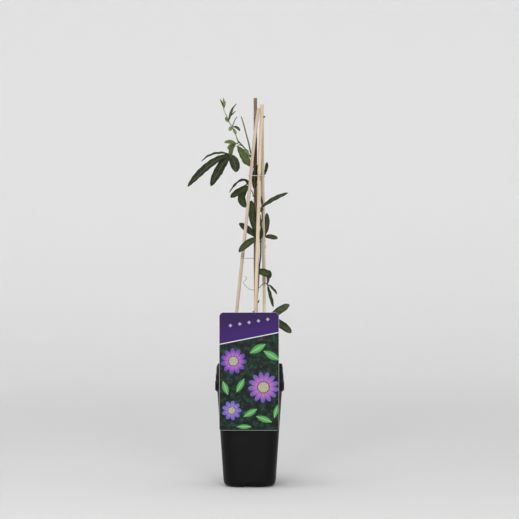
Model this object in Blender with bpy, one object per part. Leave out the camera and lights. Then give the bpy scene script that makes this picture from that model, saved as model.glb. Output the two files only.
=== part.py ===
"""A young climbing passion flower in a tall square nursery pot.

One vine climbs four tied bamboo canes: three pale ones that lean together as a tripod, and an
older brown one that stands among them. A plant label hooks over the pot's front rim.
Metres, +Z up, front towards -Y. The origin is the centre of the pot's base, on the surface
that it stands on.
"""

import math

import bmesh
import bpy
from mathutils import Matrix, Vector, noise

MM = 0.001
GAP = 0.35 * MM  # clearance between pieces that touch on the real plant

# Pot: outer half width, corner radius and height of each rounded square, in mm
POT_HEIGHT = 195
FOOT_HALF, BASE_HALF, BODY_HALF, COLLAR_HALF, RIM_HALF = 35.5, 42.7, 52.3, 56.1, 53.8
BODY_TOP, COLLAR_FOOT = 153, 157
FLOOR_TOP = 4
POT_OUTSIDE = [
    (FOOT_HALF, 21, 0), (38.9, 22.8, 1.4), (41.4, 23.6, 4.2), (BASE_HALF, 24, 10),
    (BODY_HALF, 24, BODY_TOP), (COLLAR_HALF, 24, COLLAR_FOOT), (COLLAR_HALF - 0.1, 24, 170),
    (55.2, 23.5, 171.4), (54.9, 23.3, 182), (54.1, 22.8, 183.4), (RIM_HALF, 22.6, 193.4),
    (53.3, 22.2, POT_HEIGHT),
]
POT_INSIDE = [
    (52.7, 21.8, POT_HEIGHT), (52.3, 21.6, 193.8), (52.5, 21.8, 184), (53.6, 22.5, 172),
    (54.6, 22.9, 158.8), (51.1, 22.9, 154.6), (41.4, 22.6, 9), (40.2, 21.8, 5.2), (37, 20, FLOOR_TOP),
]
ARC_STEPS = 5

# Drainage: channels from the middle of each side, and holes through the floor
CHANNEL_WIDTH, CHANNEL_HEIGHT, PAD_RADIUS = 18, 3, 15
DRAIN_RADIUS, DRAIN_OFFSET = 4, 26

# Soil, which fills the pot to below its rim
SOIL_TOP, SOIL_LUMPS, SOIL_HALF = 183, 1.6, 52.1

# Canes: points on the centre line, from the bottom up, in mm
CANES = {
    "cane_left": {
        "radius": 2.7,
        "points": [(-36.5, 4, 116), (-31.4, 2, 183), (-21.4, -0.5, 283), (-11.8, -3, 372),
                   (-2, -4.9, 466), (4.9, -6.2, 539), (9.6, -7.6, 580), (14.4, -8.9, 615.5)],
        "knots": [60, 175, 257.5, 355, 470],
    },
    "cane_front": {
        "radius": 3,
        "points": [(5.7, -38, 116), (7.4, -33.5, 185), (9.8, -26, 282), (12.1, -18.5, 370),
                   (14.9, -10.6, 466), (16, -7.6, 523), (18.7, -5.2, 580), (20, -3.8, 622)],
        "knots": [45, 150, 255, 330, 440],
    },
    "cane_back": {
        "radius": 2.8,
        "points": [(26.3, 38, 116), (25.4, 31, 183), (24.1, 22, 282), (22.3, 12.4, 420),
                   (21.1, 7.2, 499), (20.4, 5, 565), (19.9, 4.2, 622)],
        "knots": [80, 185, 300, 395, 480],
        "stub": [(20.1, 4.4, 601.8), (25.1, 3.9, 602.6)],
    },
    "cane_old": {
        "radius": 2.9,
        "points": [(9.6, 14, 40), (9.9, 10.5, 185), (9.9, 8.5, 300), (9.3, 7, 370),
                   (9.3, 5, 500), (9.1, 3, 633)],
        "knots": [90, 210, 330, 450, 560],
    },
}
CANE_SIDES = 10
STUB_RADIUS = 1.7  # of the twig that was cut off at a cane's knot
KNOT_RISE, KNOT_HALF_LENGTH = 1.13, 1.8

# Ties: the canes that each one goes round, its height and thickness
TIES = {
    "tie_upper": {"canes": list(CANES), "height": 505, "radius": 0.6},
    "tie_lower": {"canes": ["cane_left", "cane_old"], "height": 370, "radius": 0.45},
}

# Vine: the woody stem up to its green shoot, both from the bottom up
STEM = [(13.5, -6, 148), (12, -7, 183), (11.8, -8, 252), (12, -8, 301), (14, -7, 329),
        (15.3, -5, 352), (17.8, -3, 375), (18, -2, 400), (18.6, -2, 423), (16.8, -1.2, 439),
        (11.9, -1, 454), (8.5, -2.2, 474), (7.4, -2.8, 498), (7.7, -2.4, 518), (5.8, -1, 531),
        (-0.4, -1, 538), (-6.1, -3, 547.6), (-19.3, -5, 562)]
STEM_RADII = (1.7, 1.05)
BUD_RADII = (1.5, 0.8)
STEM_BUD = [(11.9, -8, 297.5), (14, -8.2, 298.6), (15.6, -8.6, 302.6)]
SHOOT = [(-19.8, -5.1, 562.8), (-23.5, -6, 573.8), (-28.6, -7, 584.3), (-34.3, -8, 593.5),
         (-37.5, -9, 602), (-42.2, -10, 612.5), (-42.2, -10.5, 620)]
SHOOT_RADII = (0.9, 0.55)
TENDRILS = {
    "tendril_straight": {
        "leaves_stem_at": 537.5, "radii": (1.35, 0.95),
        "points": [(0.8, -4, 546), (-1.4, -4.6, 557), (-5, -5.2, 570.5), (-9.6, -6, 588),
                   (-14, -7, 602)],
    },
    "tendril_curled": {
        "leaves_stem_at": 317, "radii": (0.5, 0.35),
        "points": [(5, -10.5, 318.4), (0.6, -11, 319), (-4.2, -10.8, 322.4), (-8.4, -10, 327),
                   (-10, -9, 331.4), (-7.6, -8, 333.6), (-5.4, -9, 336.4), (-6, -11, 339.4),
                   (-8, -10.2, 340)],
    },
    "tendril_twig": {
        "leaves_stem_at": 322, "radii": (0.6, 0.45),
        "points": [(18, -3, 324.6), (21.7, 4, 327.5), (26, 12, 329.5),
                   (27.8, 17.5, 328.4), (25.4, 22.8, 326.6), (20.6, 22.6, 325)],
    },
}

# Leaves: the height at which the petiole leaves the stem, the points on its way, the hub that
# the lobes spread from, which way the upper side faces, and for each lobe its middle and tip
# from the hub, its width and its roll in degrees about its own length. Stipules are the same
# in absolute points: base, middle, tip, width and roll.
LEAVES = {
    "leaf_crown": {
        "leaves_stem_at": 560.5, "petiole": [(-26.6, -10, 556), (-30, -11.6, 549.6)],
        "hub": (-31.8, -12, 539.4), "face": (-0.2, -0.8, 0.55),
        "lobes": [
            ((-25.9, 6, 1.1), (-47.7, 14, -10.8), 12, 33),
            ((-33.4, -5, -17.4), (-68.8, -10, -53), 14.5, 0),
            ((-14.7, -8, -21.2), (-31, -14, -52.4), 16.5, 0),
            ((7, -22, -14.4), (10.5, -36, -30.9), 15.5, -10),
            ((-7, 17, -12), (-15.6, 34, -32), 13, 20),
        ],
        "stipules": [
            ((-22, -8.3, 557.4), (-31, -12.5, 559.8), (-41.4, -14, 558.8), 6.8, -12),
            ((-23, -8.6, 557.6), (-28.4, -7.5, 553.6), (-36.4, -6.5, 549.2), 9.5, -20),
            ((-26, -10, 556), (-29.6, -12.6, 549), (-31.6, -13.4, 533.5), 8, 0),
        ],
    },
    "leaf_young": {
        "leaves_stem_at": 556, "petiole": [(-17.5, -9.5, 555.5)],
        "hub": (-19.8, -12.4, 552.6), "face": (-0.35, -0.85, 0.35),
        "lobes": [
            ((10.4, 7, -14), (20, 14, -31.7), 12.5, 0),
            ((7, 14, -14), (12, 27, -28), 10, 25),
        ],
        "stipules": [],
    },
    "leaf_axil": {
        "leaves_stem_at": 541, "petiole": [],
        "hub": (-1.5, -8.6, 540.6), "face": (-0.1, -0.9, 0.3),
        "lobes": [
            ((-3.6, -2.6, 3.7), (-8, -4.6, 7), 6.2, 0),
        ],
        "stipules": [],
    },
    "leaf_mid_left": {
        "leaves_stem_at": 472, "petiole": [(5, -0.8, 477), (1.6, 1, 483)],
        "hub": (0.8, 1.8, 488.5), "face": (-0.3, -0.85, 0.4),
        "lobes": [
            ((-14.3, -1, 9), (-34, -4, -10.8), 10.5, 38),
            ((-16, -4.6, -9), (-31.2, -17, -20), 14.6, 0),
            ((-13.5, -1, -17), (-6.9, 1, -34.8), 13.6, 0),
            ((-6, 20, 3), (-12, 38, -8), 12, 30),
        ],
        "stipules": [],
    },
    "leaf_right_long": {
        "leaves_stem_at": 431, "petiole": [(20.6, -5.4, 438)],
        "hub": (19.8, -4.8, 453), "face": (0.1, -0.8, 0.6),
        "lobes": [
            ((17.1, -6, 12), (42.9, -10, 23.6), 9.4, -8),
            ((-0.4, 0.5, 9), (-0.8, 1, 20), 6.5, 54),
            ((-0.8, -2, -2.6), (-1.8, -3.6, -7.6), 7, 0),
        ],
        "stipules": [],
    },
    "leaf_centre": {
        "leaves_stem_at": 397, "petiole": [],
        "hub": (13.4, -4.6, 403), "face": (0, -0.95, 0.3),
        "lobes": [
            ((-15.6, 5.8, 13.5), (-30.8, 11, 24.4), 11, 0),
            ((-15.5, -5, -8), (-31.1, -11, -23), 11.5, 0),
            ((-8.6, 4.9, 34), (-10.4, 4.6, 62), 12.4, 0),
            ((0.6, 14, 6), (1.5, 34, 4), 13, 88),
        ],
        "stipules": [
            ((13.8, -4.9, 403), (18.4, -6.6, 406.5), (18.8, -6, 422.5), 6.2, 0),
        ],
    },
    "leaf_back_right": {
        "leaves_stem_at": 440, "petiole": [(15.6, 9, 436), (17, 17.5, 426)],
        "hub": (23.6, 20, 406), "face": (0.35, 0.7, 0.6),
        "lobes": [
            ((11.4, -1, -0.8), (22.5, -4, -3), 9, -10),
            ((3.8, -1, 19), (4.2, -2, 38.8), 10, 0),
            ((-2, 18, 5), (-4, 34, 3), 12, 0),
            ((0, 9, -16), (-1, 16, -34), 10, 86),
        ],
        "stipules": [],
    },
    "leaf_top_right": {
        "leaves_stem_at": 491, "petiole": [(14.2, -0.6, 492.5), (15, 5, 494), (15.4, 11, 497),
                                           (18, 14.6, 502), (22, 15, 506.5)],
        "hub": (25.5, 14, 509.8), "face": (0.3, -0.9, 0.3),
        "lobes": [
            ((1.6, 0.5, 9.4), (3, 0.5, 18.8), 5.8, 0),
            ((-7.5, 14, 0.6), (-15, 28, -6), 9.6, 0),
            ((-11, 10, 9.5), (-22, 20, 12), 9.6, 0),
        ],
        "stipules": [],
    },
    "leaf_inner": {
        "leaves_stem_at": 526, "petiole": [],
        "hub": (10.2, -0.4, 524), "face": (0, -1, 0.1),
        "lobes": [
            ((-1.8, 1, -20), (-2.7, 1.1, -41), 8.8, 0),
        ],
        "stipules": [],
    },
    "leaf_strap": {
        "leaves_stem_at": 346, "petiole": [],
        "hub": (10.6, -8.4, 351), "face": (0, -0.98, 0.2),
        "lobes": [
            ((12.6, -4, -4.2), (22.4, 2, -7.8), 12.2, 0),
            ((1.2, 1.5, 14), (2, 2, 27), 6, 0),
        ],
        "stipules": [
            ((30.6, -7.8, 350.8), (33.3, -7.6, 345), (32.7, -6.8, 337.4), 5.2, 0),
        ],
    },
    "leaf_drop": {
        "leaves_stem_at": 347, "petiole": [(22, 2.2, 346), (26.8, 3, 342.5), (28.6, 2, 335)],
        "hub": (29, 0.4, 327), "face": (0.3, -0.8, 0.5),
        "lobes": [
            ((8, -3, -6.2), (15, -6, -16), 8, -28),
            ((4.2, -4, -18), (9.6, -8, -37), 8, -22),
            ((1.5, 10, 12), (1.5, 19, 20), 5.5, 0),
        ],
        "stipules": [],
    },
    "leaf_low": {
        "leaves_stem_at": 261, "petiole": [(18.6, -16.6, 267), (26, -22, 272)],
        "hub": (31.6, -24, 274), "face": (0.1, -0.85, 0.5),
        "lobes": [
            ((16.4, -3, 10.6), (33, -4, 21), 12.6, 0),
            ((19.5, -4, -12), (36, -6, -25), 13.8, 0),
            ((0.5, -8, -21), (-4, -10, -43), 14.5, 0),
            ((-14, -9, -2), (-26.6, -14, 10.8), 7, 0),
        ],
        "stipules": [],
    },
    "leaf_hidden": {
        "leaves_stem_at": 216, "petiole": [(4, -3, 221), (-4, 5, 226)],
        "hub": (-9, 14, 228), "face": (-0.3, 0.55, 0.75),
        "lobes": [
            ((-11, 9, 7), (-26, 18, 5), 12.5, 0),
            ((-3, 16, 8), (-7, 33, 3), 14, 0),
            ((10, 13, 7), (20, 26, 2), 12.5, 0),
        ],
        "stipules": [],
    },
}
BLADE_THICKNESS, BLADE_KEEL = 0.7, 0.2
BLADE_STATIONS = 9
HUB_RADIUS, PETIOLE_RADIUS = 1.5, 0.85

# Small blades of the green shoot: base, middle, tip, width and roll
SHOOT_FACE = (-0.2, -0.9, 0.3)
SHOOT_BLADES = [
    ((-27.6, -6.8, 583.4), (-30.4, -9.5, 582.2), (-33, -11, 578), 6.8, 0),
    ((-27.4, -6.8, 582.6), (-24.4, -9, 577.4), (-22.4, -9.5, 572.6), 4.6, 0),
    ((-28.2, -7, 585), (-20.6, -10, 583.4), (-16.1, -11, 577.6), 4.4, 0),
    ((-33.6, -8, 592.8), (-37, -10, 596.5), (-39, -11, 600.6), 5.6, 0),
    ((-34.4, -8, 593.6), (-31.3, -9.5, 606), (-26.4, -11, 618), 4.2, 20),
    ((-29.4, -10.2, 612), (-25.6, -10.8, 617.6), (-21.6, -11, 622.6), 1.8, 20),
    ((-32.4, -9, 601), (-28, -8, 606), (-22.9, -7, 611), 2, 20),
    ((-42.2, -10.2, 614), (-44.2, -11.5, 621.5), (-48.5, -12.5, 629.6), 2.8, 0),
    ((-42.2, -10.2, 614), (-42.1, -9.5, 623), (-43.1, -9, 632.2), 3.2, 0),
    ((-42.2, -10.2, 614), (-40.8, -9, 621), (-39.8, -8, 627), 2.2, 20),
]
SHOOT_TWIG = [(-28.4, -7, 586), (-26.2, -8, 591), (-23.8, -8.5, 597), (-20.2, -9, 601.5)]
TWIG_RADII = (0.8, 0.55)

# Label card and the clip on its back, which hooks over the rim
CARD_WIDTH, CARD_TOP, CARD_BOTTOM, CARD_CENTRE_X = 95.8, 283.2, 94, -0.7
CARD_THICKNESS, CARD_TOP_RADIUS, CARD_FOOT_RADIUS = 0.7, 7.5, 4
CARD_BACK_Y, CARD_TILT = -56.7, math.radians(0.8)
CLIP_WIDTH, CLIP_THICKNESS, CLIP_TOP, CLIP_FOOT, CLIP_INSIDE_Y = 18, 0.8, 236, 166, -51.3

COLOURS = {  # base colour, roughness
    "pot_plastic": ((0.012, 0.012, 0.013), 0.42),
    "potting_soil": ((0.045, 0.028, 0.018), 0.95),
    "bamboo": ((0.72, 0.55, 0.36), 0.55),
    "old_bamboo": ((0.3, 0.18, 0.1), 0.65),
    "tie_wire": ((0.75, 0.73, 0.66), 0.5),
    "label_print": ((0.13, 0.05, 0.3), 0.3),
    "clip_plastic": ((0.8, 0.8, 0.78), 0.4),
    "vine_bark": ((0.12, 0.1, 0.045), 0.6),
    "leaf_green": ((0.035, 0.085, 0.025), 0.5),
    "young_green": ((0.2, 0.32, 0.06), 0.5),
}


def clear_scene():
    for obj in list(bpy.data.objects):
        bpy.data.objects.remove(obj, do_unlink=True)


def material(name):
    """The Principled material of this name, made once."""
    found = bpy.data.materials.get(name)
    if found:
        return found
    colour, roughness = COLOURS[name]
    made = bpy.data.materials.new(name)
    made.use_nodes = True
    shader = made.node_tree.nodes["Principled BSDF"]
    shader.inputs["Base Color"].default_value = (*colour, 1)
    shader.inputs["Roughness"].default_value = roughness
    shader.inputs["Metallic"].default_value = 0
    return made


def points_mm(rows):
    """Rows of millimetres as vectors in metres."""
    return [Vector(row) * MM for row in rows]


def object_from(name, bm, material_name, smooth_angle=None):
    """A scene object from a bmesh, with its faces pointing out."""
    bmesh.ops.recalc_face_normals(bm, faces=bm.faces)
    mesh = bpy.data.meshes.new(name)
    bm.to_mesh(mesh)
    bm.free()
    mesh.materials.append(material(material_name))
    if smooth_angle is not None:
        mesh.shade_smooth()
        mesh.set_sharp_from_angle(angle=math.radians(smooth_angle))
    obj = bpy.data.objects.new(name, mesh)
    bpy.context.scene.collection.objects.link(obj)
    return obj


def boolean(obj, others, operation):
    """Joins the other objects to obj, or cuts them from it, and removes them."""
    group = bpy.data.collections.new(obj.name + "_operands")
    bpy.context.scene.collection.children.link(group)
    for other in others:
        bpy.context.scene.collection.objects.unlink(other)
        group.objects.link(other)
    modifier = obj.modifiers.new("boolean", "BOOLEAN")
    modifier.operation = operation
    modifier.operand_type = "COLLECTION"
    modifier.collection = group
    modifier.solver = "EXACT"
    graph = bpy.context.evaluated_depsgraph_get()
    result = bpy.data.meshes.new_from_object(obj.evaluated_get(graph))
    obj.modifiers.clear()
    obj.data = result
    for other in others:
        bpy.data.objects.remove(other, do_unlink=True)
    bpy.data.collections.remove(group)


def skin(bm, rings, closed=False):
    """Quads between neighbouring rings of vertices, and flat ends unless the rings close."""
    pairs = list(zip(rings, rings[1:] + rings[:1] if closed else rings[1:]))
    for low, high in pairs:
        for i in range(len(low)):
            j = (i + 1) % len(low)
            bm.faces.new((low[i], low[j], high[j], high[i]))
    if not closed:
        bm.faces.new(reversed(rings[0]))
        bm.faces.new(rings[-1])


def smooth_path(points, per_span):
    """Points on a Catmull-Rom curve through the given points."""
    ends = [points[0] * 2 - points[1], *points, points[-1] * 2 - points[-2]]
    path = []
    for a, b, c, d in zip(ends, ends[1:], ends[2:], ends[3:]):
        for step in range(per_span):
            t = step / per_span
            path.append(0.5 * (2 * b + (c - a) * t + (2 * a - 5 * b + 4 * c - d) * t**2
                               + (3 * b - a - 3 * c + d) * t**3))
    return [*path, points[-1]]


def frames_along(path):
    """(tangent, side, up) at each point, with no twist between neighbours."""
    tangents = [(path[min(i + 1, len(path) - 1)] - path[max(i - 1, 0)]).normalized()
                for i in range(len(path))]
    side = tangents[0].orthogonal().normalized()
    frames = []
    for tangent in tangents:
        side = (side - tangent * side.dot(tangent)).normalized()
        frames.append((tangent, side, tangent.cross(side)))
    return frames


def add_tube(bm, path, radii, sides, closed=False):
    """A round tube along the path, with one radius for each of its points."""
    rings = []
    for point, (_, side, up), radius in zip(path, frames_along(path), radii):
        turns = [2 * math.pi * k / sides for k in range(sides)]
        rings.append([bm.verts.new(point + (side * math.cos(a) + up * math.sin(a)) * radius)
                      for a in turns])
    skin(bm, rings, closed)


def tapered(count, ends):
    """Radii in metres that run evenly between the two ends, given in millimetres."""
    first, last = ends
    return [(first + (last - first) * i / (count - 1)) * MM for i in range(count)]


def off_stem(height, toward):
    """Two points, in mm, where a petiole or tendril leaves the stem's side towards a point."""
    spine = smooth_path([Vector(row) for row in STEM], 6)
    i = max(k for k, p in enumerate(spine[:-1]) if p.z <= height or k == 0)
    low, high = spine[i], spine[i + 1]
    centre = low.lerp(high, (height - low.z) / (high.z - low.z))
    along = (high - low).normalized()
    out = Vector(toward) - centre
    out = (out - along * out.dot(along)).normalized()
    share = i / (len(spine) - 1)
    reach = STEM_RADII[0] + (STEM_RADII[1] - STEM_RADII[0]) * share
    start = centre + out * (reach + 1.7 * GAP / MM)
    return [start, start + out * (Vector(toward) - start).length * 0.3]


def tube_object(name, rows, ends, sides, per_span, material_name):
    path = smooth_path(points_mm(rows), per_span)
    bm = bmesh.new()
    add_tube(bm, path, tapered(len(path), ends), sides)
    return object_from(name, bm, material_name, 60)


def rounded_square(half, radius, z):
    """Points of a rounded square of this half width, anticlockwise from +X."""
    points = []
    for quarter in range(4):
        turn = Matrix.Rotation(quarter * math.pi / 2, 3, "Z")
        for step in range(ARC_STEPS + 1):
            a = math.pi / 2 * step / ARC_STEPS
            corner = Vector((half - radius + radius * math.cos(a), half - radius + radius * math.sin(a), z))
            points.append(turn @ corner * MM)
    return points


def box(name, low, high):
    """A plain box between two corners in millimetres, used as a cutter."""
    bm = bmesh.new()
    bmesh.ops.create_cube(bm, size=1)
    low, high = Vector(low) * MM, Vector(high) * MM
    for vert in bm.verts:
        vert.co = Vector(low[i] if vert.co[i] < 0 else high[i] for i in range(3))
    return object_from(name, bm, "pot_plastic")


def upright_rod(name, x, y, radius, low, high):
    """A plain upright rod in millimetres, used as a cutter."""
    path = points_mm([(x, y, low), (x, y, high)])
    bm = bmesh.new()
    add_tube(bm, path, [radius * MM] * 2, 16)
    return object_from(name, bm, "pot_plastic")


def make_pot():
    bm = bmesh.new()
    rings = [[bm.verts.new(p) for p in rounded_square(*ring)] for ring in POT_OUTSIDE + POT_INSIDE]
    skin(bm, rings)
    pot = object_from("pot", bm, "pot_plastic", 35)
    cutters = []
    for quarter in range(4):
        channel = box(f"channel_{quarter}", (PAD_RADIUS, -CHANNEL_WIDTH / 2, -1),
                      (BODY_HALF + 10, CHANNEL_WIDTH / 2, CHANNEL_HEIGHT))
        channel.data.transform(Matrix.Rotation(quarter * math.pi / 2, 4, "Z"))
        cutters.append(channel)
    for x in (-DRAIN_OFFSET, 0, DRAIN_OFFSET):
        for y in (-DRAIN_OFFSET, 0, DRAIN_OFFSET):
            if x or y:
                cutters.append(upright_rod(f"drain_{x}_{y}", x, y, DRAIN_RADIUS, -2, FLOOR_TOP + 2))
    boolean(pot, cutters, "DIFFERENCE")
    return pot


def make_soil():
    """Compost with a lumpy top, and plain holes for the canes, the stem and the clip."""
    gap = GAP / MM
    sides = [(half - gap, radius - gap, z) for half, radius, z in reversed(POT_INSIDE)
             if FLOOR_TOP + 2 < z < SOIL_TOP]
    rings_mm = [(36, 19.4, FLOOR_TOP + gap), *sides, (SOIL_HALF, 21.4, SOIL_TOP - 1)]
    bm = bmesh.new()
    rings = [[bm.verts.new(p) for p in rounded_square(*ring)] for ring in rings_mm]
    for inset in (6, 14, 24, 34, 43):
        half = SOIL_HALF - inset
        ring = []
        for p in rounded_square(half, max(21.4 - inset * 0.45, 1), SOIL_TOP):
            p.z += noise.noise(p * 70) * SOIL_LUMPS * MM
            ring.append(bm.verts.new(p))
        rings.append(ring)
    skin(bm, rings)
    soil = object_from("soil", bm, "potting_soil", 50)
    cutters = []
    for name, cane in CANES.items():
        low = [Vector(p) for p in cane["points"] if p[2] < SOIL_TOP + 10]
        low[0] = low[0] - (low[1] - low[0]).normalized()
        low.append(low[-1] + (Vector(cane["points"][len(low)]) - low[-1]).normalized() * 20)
        cutters.append(tube_object("hole_" + name, low, [cane["radius"] * KNOT_RISE + gap] * 2,
                                   CANE_SIDES, 3, "potting_soil"))
    foot = Vector(STEM[0]) - Vector((0, 0, 1))
    cutters.append(tube_object("hole_stem", [foot, STEM[1], (11.7, -7.3, 200)],
                               [STEM_RADII[0] + gap] * 2, 8, 4, "potting_soil"))
    slot_half = CLIP_WIDTH / 2 + 0.6
    cutters.append(box("clip_slot", (-slot_half, -60, CLIP_FOOT - 1),
                       (slot_half, CLIP_INSIDE_Y + 0.8, SOIL_TOP + 20)))
    boolean(soil, cutters, "DIFFERENCE")
    return soil


def cane_path(cane, per_span=3):
    return smooth_path(points_mm(cane["points"]), per_span)


def cane_point(cane, height):
    """The centre line's point at this height, both in metres."""
    path = cane_path(cane, 12)
    height = min(max(height, path[0].z), path[-1].z)
    for low, high in zip(path, path[1:]):
        if high.z >= height:
            break
    return low.lerp(high, (height - low.z) / (high.z - low.z))


def make_cane(name, cane, material_name):
    """A straight-grained cane with a swollen knot at each joint."""
    radius, low = cane["radius"] * MM, cane["points"][0][2]
    top = cane["points"][-1][2]
    rings = [(p.z, 1) for p in cane_path(cane, 2)]
    for knot in cane["knots"]:
        z = (low + knot) * MM
        half = KNOT_HALF_LENGTH * MM
        rings = [(h, r) for h, r in rings if abs(h - z) > 4 * half]
        rings += [(z - half, 1), (z, KNOT_RISE), (z + half, 1)]
    rings = sorted((h, r) for h, r in rings if (low + 1) * MM < h < (top - 1) * MM)
    rings = [(low * MM, 1), *rings, (top * MM, 0.96)]
    path = [cane_point(cane, height) for height, _ in rings]
    bm = bmesh.new()
    add_tube(bm, path, [radius * r for _, r in rings], CANE_SIDES)
    made = object_from(name, bm, material_name, 40)
    if "stub" in cane:
        stub = tube_object(name + "_stub", cane["stub"], (STUB_RADIUS, STUB_RADIUS * 0.7), 7, 1,
                           material_name)
        boolean(made, [stub], "UNION")
    return made


def hull_loop(circles, steps=16):
    """The tight loop round some circles, given as (centre, radius), in the XY plane."""
    points = sorted((c.x + r * math.cos(a), c.y + r * math.sin(a))
                    for c, r in circles
                    for a in (2 * math.pi * k / steps for k in range(steps)))

    def half(rows):
        chain = []
        for p in rows:
            while len(chain) > 1 and ((chain[-1][0] - chain[-2][0]) * (p[1] - chain[-2][1])
                                      <= (chain[-1][1] - chain[-2][1]) * (p[0] - chain[-2][0])):
                chain.pop()
            chain.append(p)
        return chain[:-1]

    return half(points) + half(reversed(points))


def make_tie(name, tie):
    """A wire loop drawn round the canes."""
    height, radius = tie["height"] * MM, tie["radius"] * MM
    circles = []
    for cane_name in tie["canes"]:
        cane = CANES[cane_name]
        reach = cane["radius"] * MM + GAP * 1.6 + radius
        circles.append((cane_point(cane, height), reach))
    path = [Vector((x, y, height)) for x, y in hull_loop(circles)]
    count = len(path)
    bm = bmesh.new()
    rings = []
    for i, point in enumerate(path):
        tangent = (path[(i + 1) % count] - path[i - 1]).normalized()
        out = tangent.cross(Vector((0, 0, 1)))
        turns = [2 * math.pi * k / 6 for k in range(6)]
        rings.append([bm.verts.new(point + (out * math.cos(a) + Vector((0, 0, math.sin(a)))) * radius)
                      for a in turns])
    skin(bm, rings, closed=True)
    return object_from(name, bm, "tie_wire", 60)


def blade_half_width(t, width):
    """Half the blade's width at t along it: narrow foot, widest past the middle, round tip."""
    swell = (1 - abs(2 * t**1.2 - 1) ** 2.3) ** 0.6
    return max(width / 2 * max(swell, 0.24 * (1 - t)), 0.45)


def add_blade(bm, base, mid, tip, width, face, roll):
    """A thin, slightly folded leaf blade whose centre line bends through mid. All in mm."""
    base, mid, tip, face = Vector(base), Vector(mid), Vector(tip), Vector(face)
    control = mid * 2 - (base + tip) / 2
    grids = ([], [])
    for station in range(BLADE_STATIONS):
        t = 1 - (1 - station / (BLADE_STATIONS - 1)) ** 1.5
        point = base * (1 - t) ** 2 + control * (2 * t * (1 - t)) + tip * t**2
        along = ((control - base) * (1 - t) + (tip - control) * t).normalized()
        up = (face - along * face.dot(along)).normalized()
        up = Matrix.Rotation(math.radians(roll), 3, along) @ up
        side = along.cross(up)
        half = blade_half_width(t, width)
        for grid, lift in zip(grids, (0.5, -0.5)):
            grid.append([
                bm.verts.new((point + side * half * s + up * (BLADE_KEEL * half * abs(s)
                                                              + lift * BLADE_THICKNESS)) * MM)
                for s in (-1, 0, 1)
            ])
    for grid in grids:
        for low, high in zip(grid, grid[1:]):
            for i, (a, b) in enumerate(((0, 1), (1, 2))):
                if i == 0:
                    bm.faces.new((low[a], low[b], high[b]))
                    bm.faces.new((low[a], high[b], high[a]))
                else:
                    bm.faces.new((low[a], low[b], high[a]))
                    bm.faces.new((low[b], high[b], high[a]))
    top, under = grids
    border = ([row[0] for row in top] + top[-1][1:] + [row[2] for row in reversed(top[:-1])]
              + [top[0][1]])
    lower = ([row[0] for row in under] + under[-1][1:] + [row[2] for row in reversed(under[:-1])]
             + [under[0][1]])
    for i in range(len(border)):
        j = (i + 1) % len(border)
        bm.faces.new((border[i], border[j], lower[j]))
        bm.faces.new((border[i], lower[j], lower[i]))


def blade_object(name, blade, face, material_name):
    bm = bmesh.new()
    base, mid, tip, width, roll = blade
    add_blade(bm, base, mid, tip, width, face, roll)
    return object_from(name, bm, material_name)


def make_leaf(name, leaf):
    """A palmate leaf: hub, lobes, petiole and stipules, joined in one body."""
    hub = Vector(leaf["hub"])
    bm = bmesh.new()
    bmesh.ops.create_icosphere(bm, subdivisions=1, radius=HUB_RADIUS * MM,
                               matrix=Matrix.Translation(hub * MM))
    body = object_from(name, bm, "leaf_green")
    pieces = []
    for i, (mid, tip, width, roll) in enumerate(leaf["lobes"]):
        blade = (hub, hub + Vector(mid), hub + Vector(tip), width, roll)
        pieces.append(blade_object(f"{name}_lobe_{i}", blade, leaf["face"], "leaf_green"))
    for i, blade in enumerate(leaf["stipules"]):
        pieces.append(blade_object(f"{name}_stipule_{i}", blade, leaf["face"], "leaf_green"))
    way = [*leaf["petiole"], leaf["hub"]]
    way = [*off_stem(leaf["leaves_stem_at"], way[0]), *way]
    pieces.append(tube_object(name + "_petiole", way, [PETIOLE_RADIUS] * 2, 6, 3, "leaf_green"))
    boolean(body, pieces, "UNION")
    return body


def make_shoot():
    """The green end of the vine, with its unfolding leaves and stipules."""
    shoot = tube_object("young_shoot", SHOOT, SHOOT_RADII, 8, 3, "young_green")
    pieces = [blade_object(f"shoot_blade_{i}", blade, SHOOT_FACE, "young_green")
              for i, blade in enumerate(SHOOT_BLADES)]
    pieces.append(tube_object("shoot_twig", SHOOT_TWIG, TWIG_RADII, 6, 2, "young_green"))
    boolean(shoot, pieces, "UNION")
    return shoot


def card_back(z):
    """Where the back of the tilted card lies at a height, in mm."""
    return CARD_BACK_Y + (z - COLLAR_FOOT) * math.tan(CARD_TILT)


def make_card():
    """The label: a card with round corners that leans back a little."""
    half = CARD_WIDTH / 2
    outline = []
    corners = [(half, CARD_TOP, CARD_TOP_RADIUS, 0), (-half, CARD_TOP, CARD_TOP_RADIUS, 1),
               (-half, CARD_BOTTOM, CARD_FOOT_RADIUS, 2), (half, CARD_BOTTOM, CARD_FOOT_RADIUS, 3)]
    for x, z, radius, quarter in corners:
        centre_x = x - math.copysign(radius, x)
        centre_z = z + (radius if z == CARD_BOTTOM else -radius)
        for step in range(7):
            a = math.pi / 2 * (quarter + step / 6)
            outline.append((centre_x + radius * math.cos(a), centre_z + radius * math.sin(a)))
    bm = bmesh.new()
    rings = []
    for depth in (0, -CARD_THICKNESS):
        rings.append([bm.verts.new(Vector((CARD_CENTRE_X + x, card_back(z) + depth, z)) * MM)
                      for x, z in outline])
    skin(bm, rings)
    return object_from("label_card", bm, "label_print")


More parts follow.
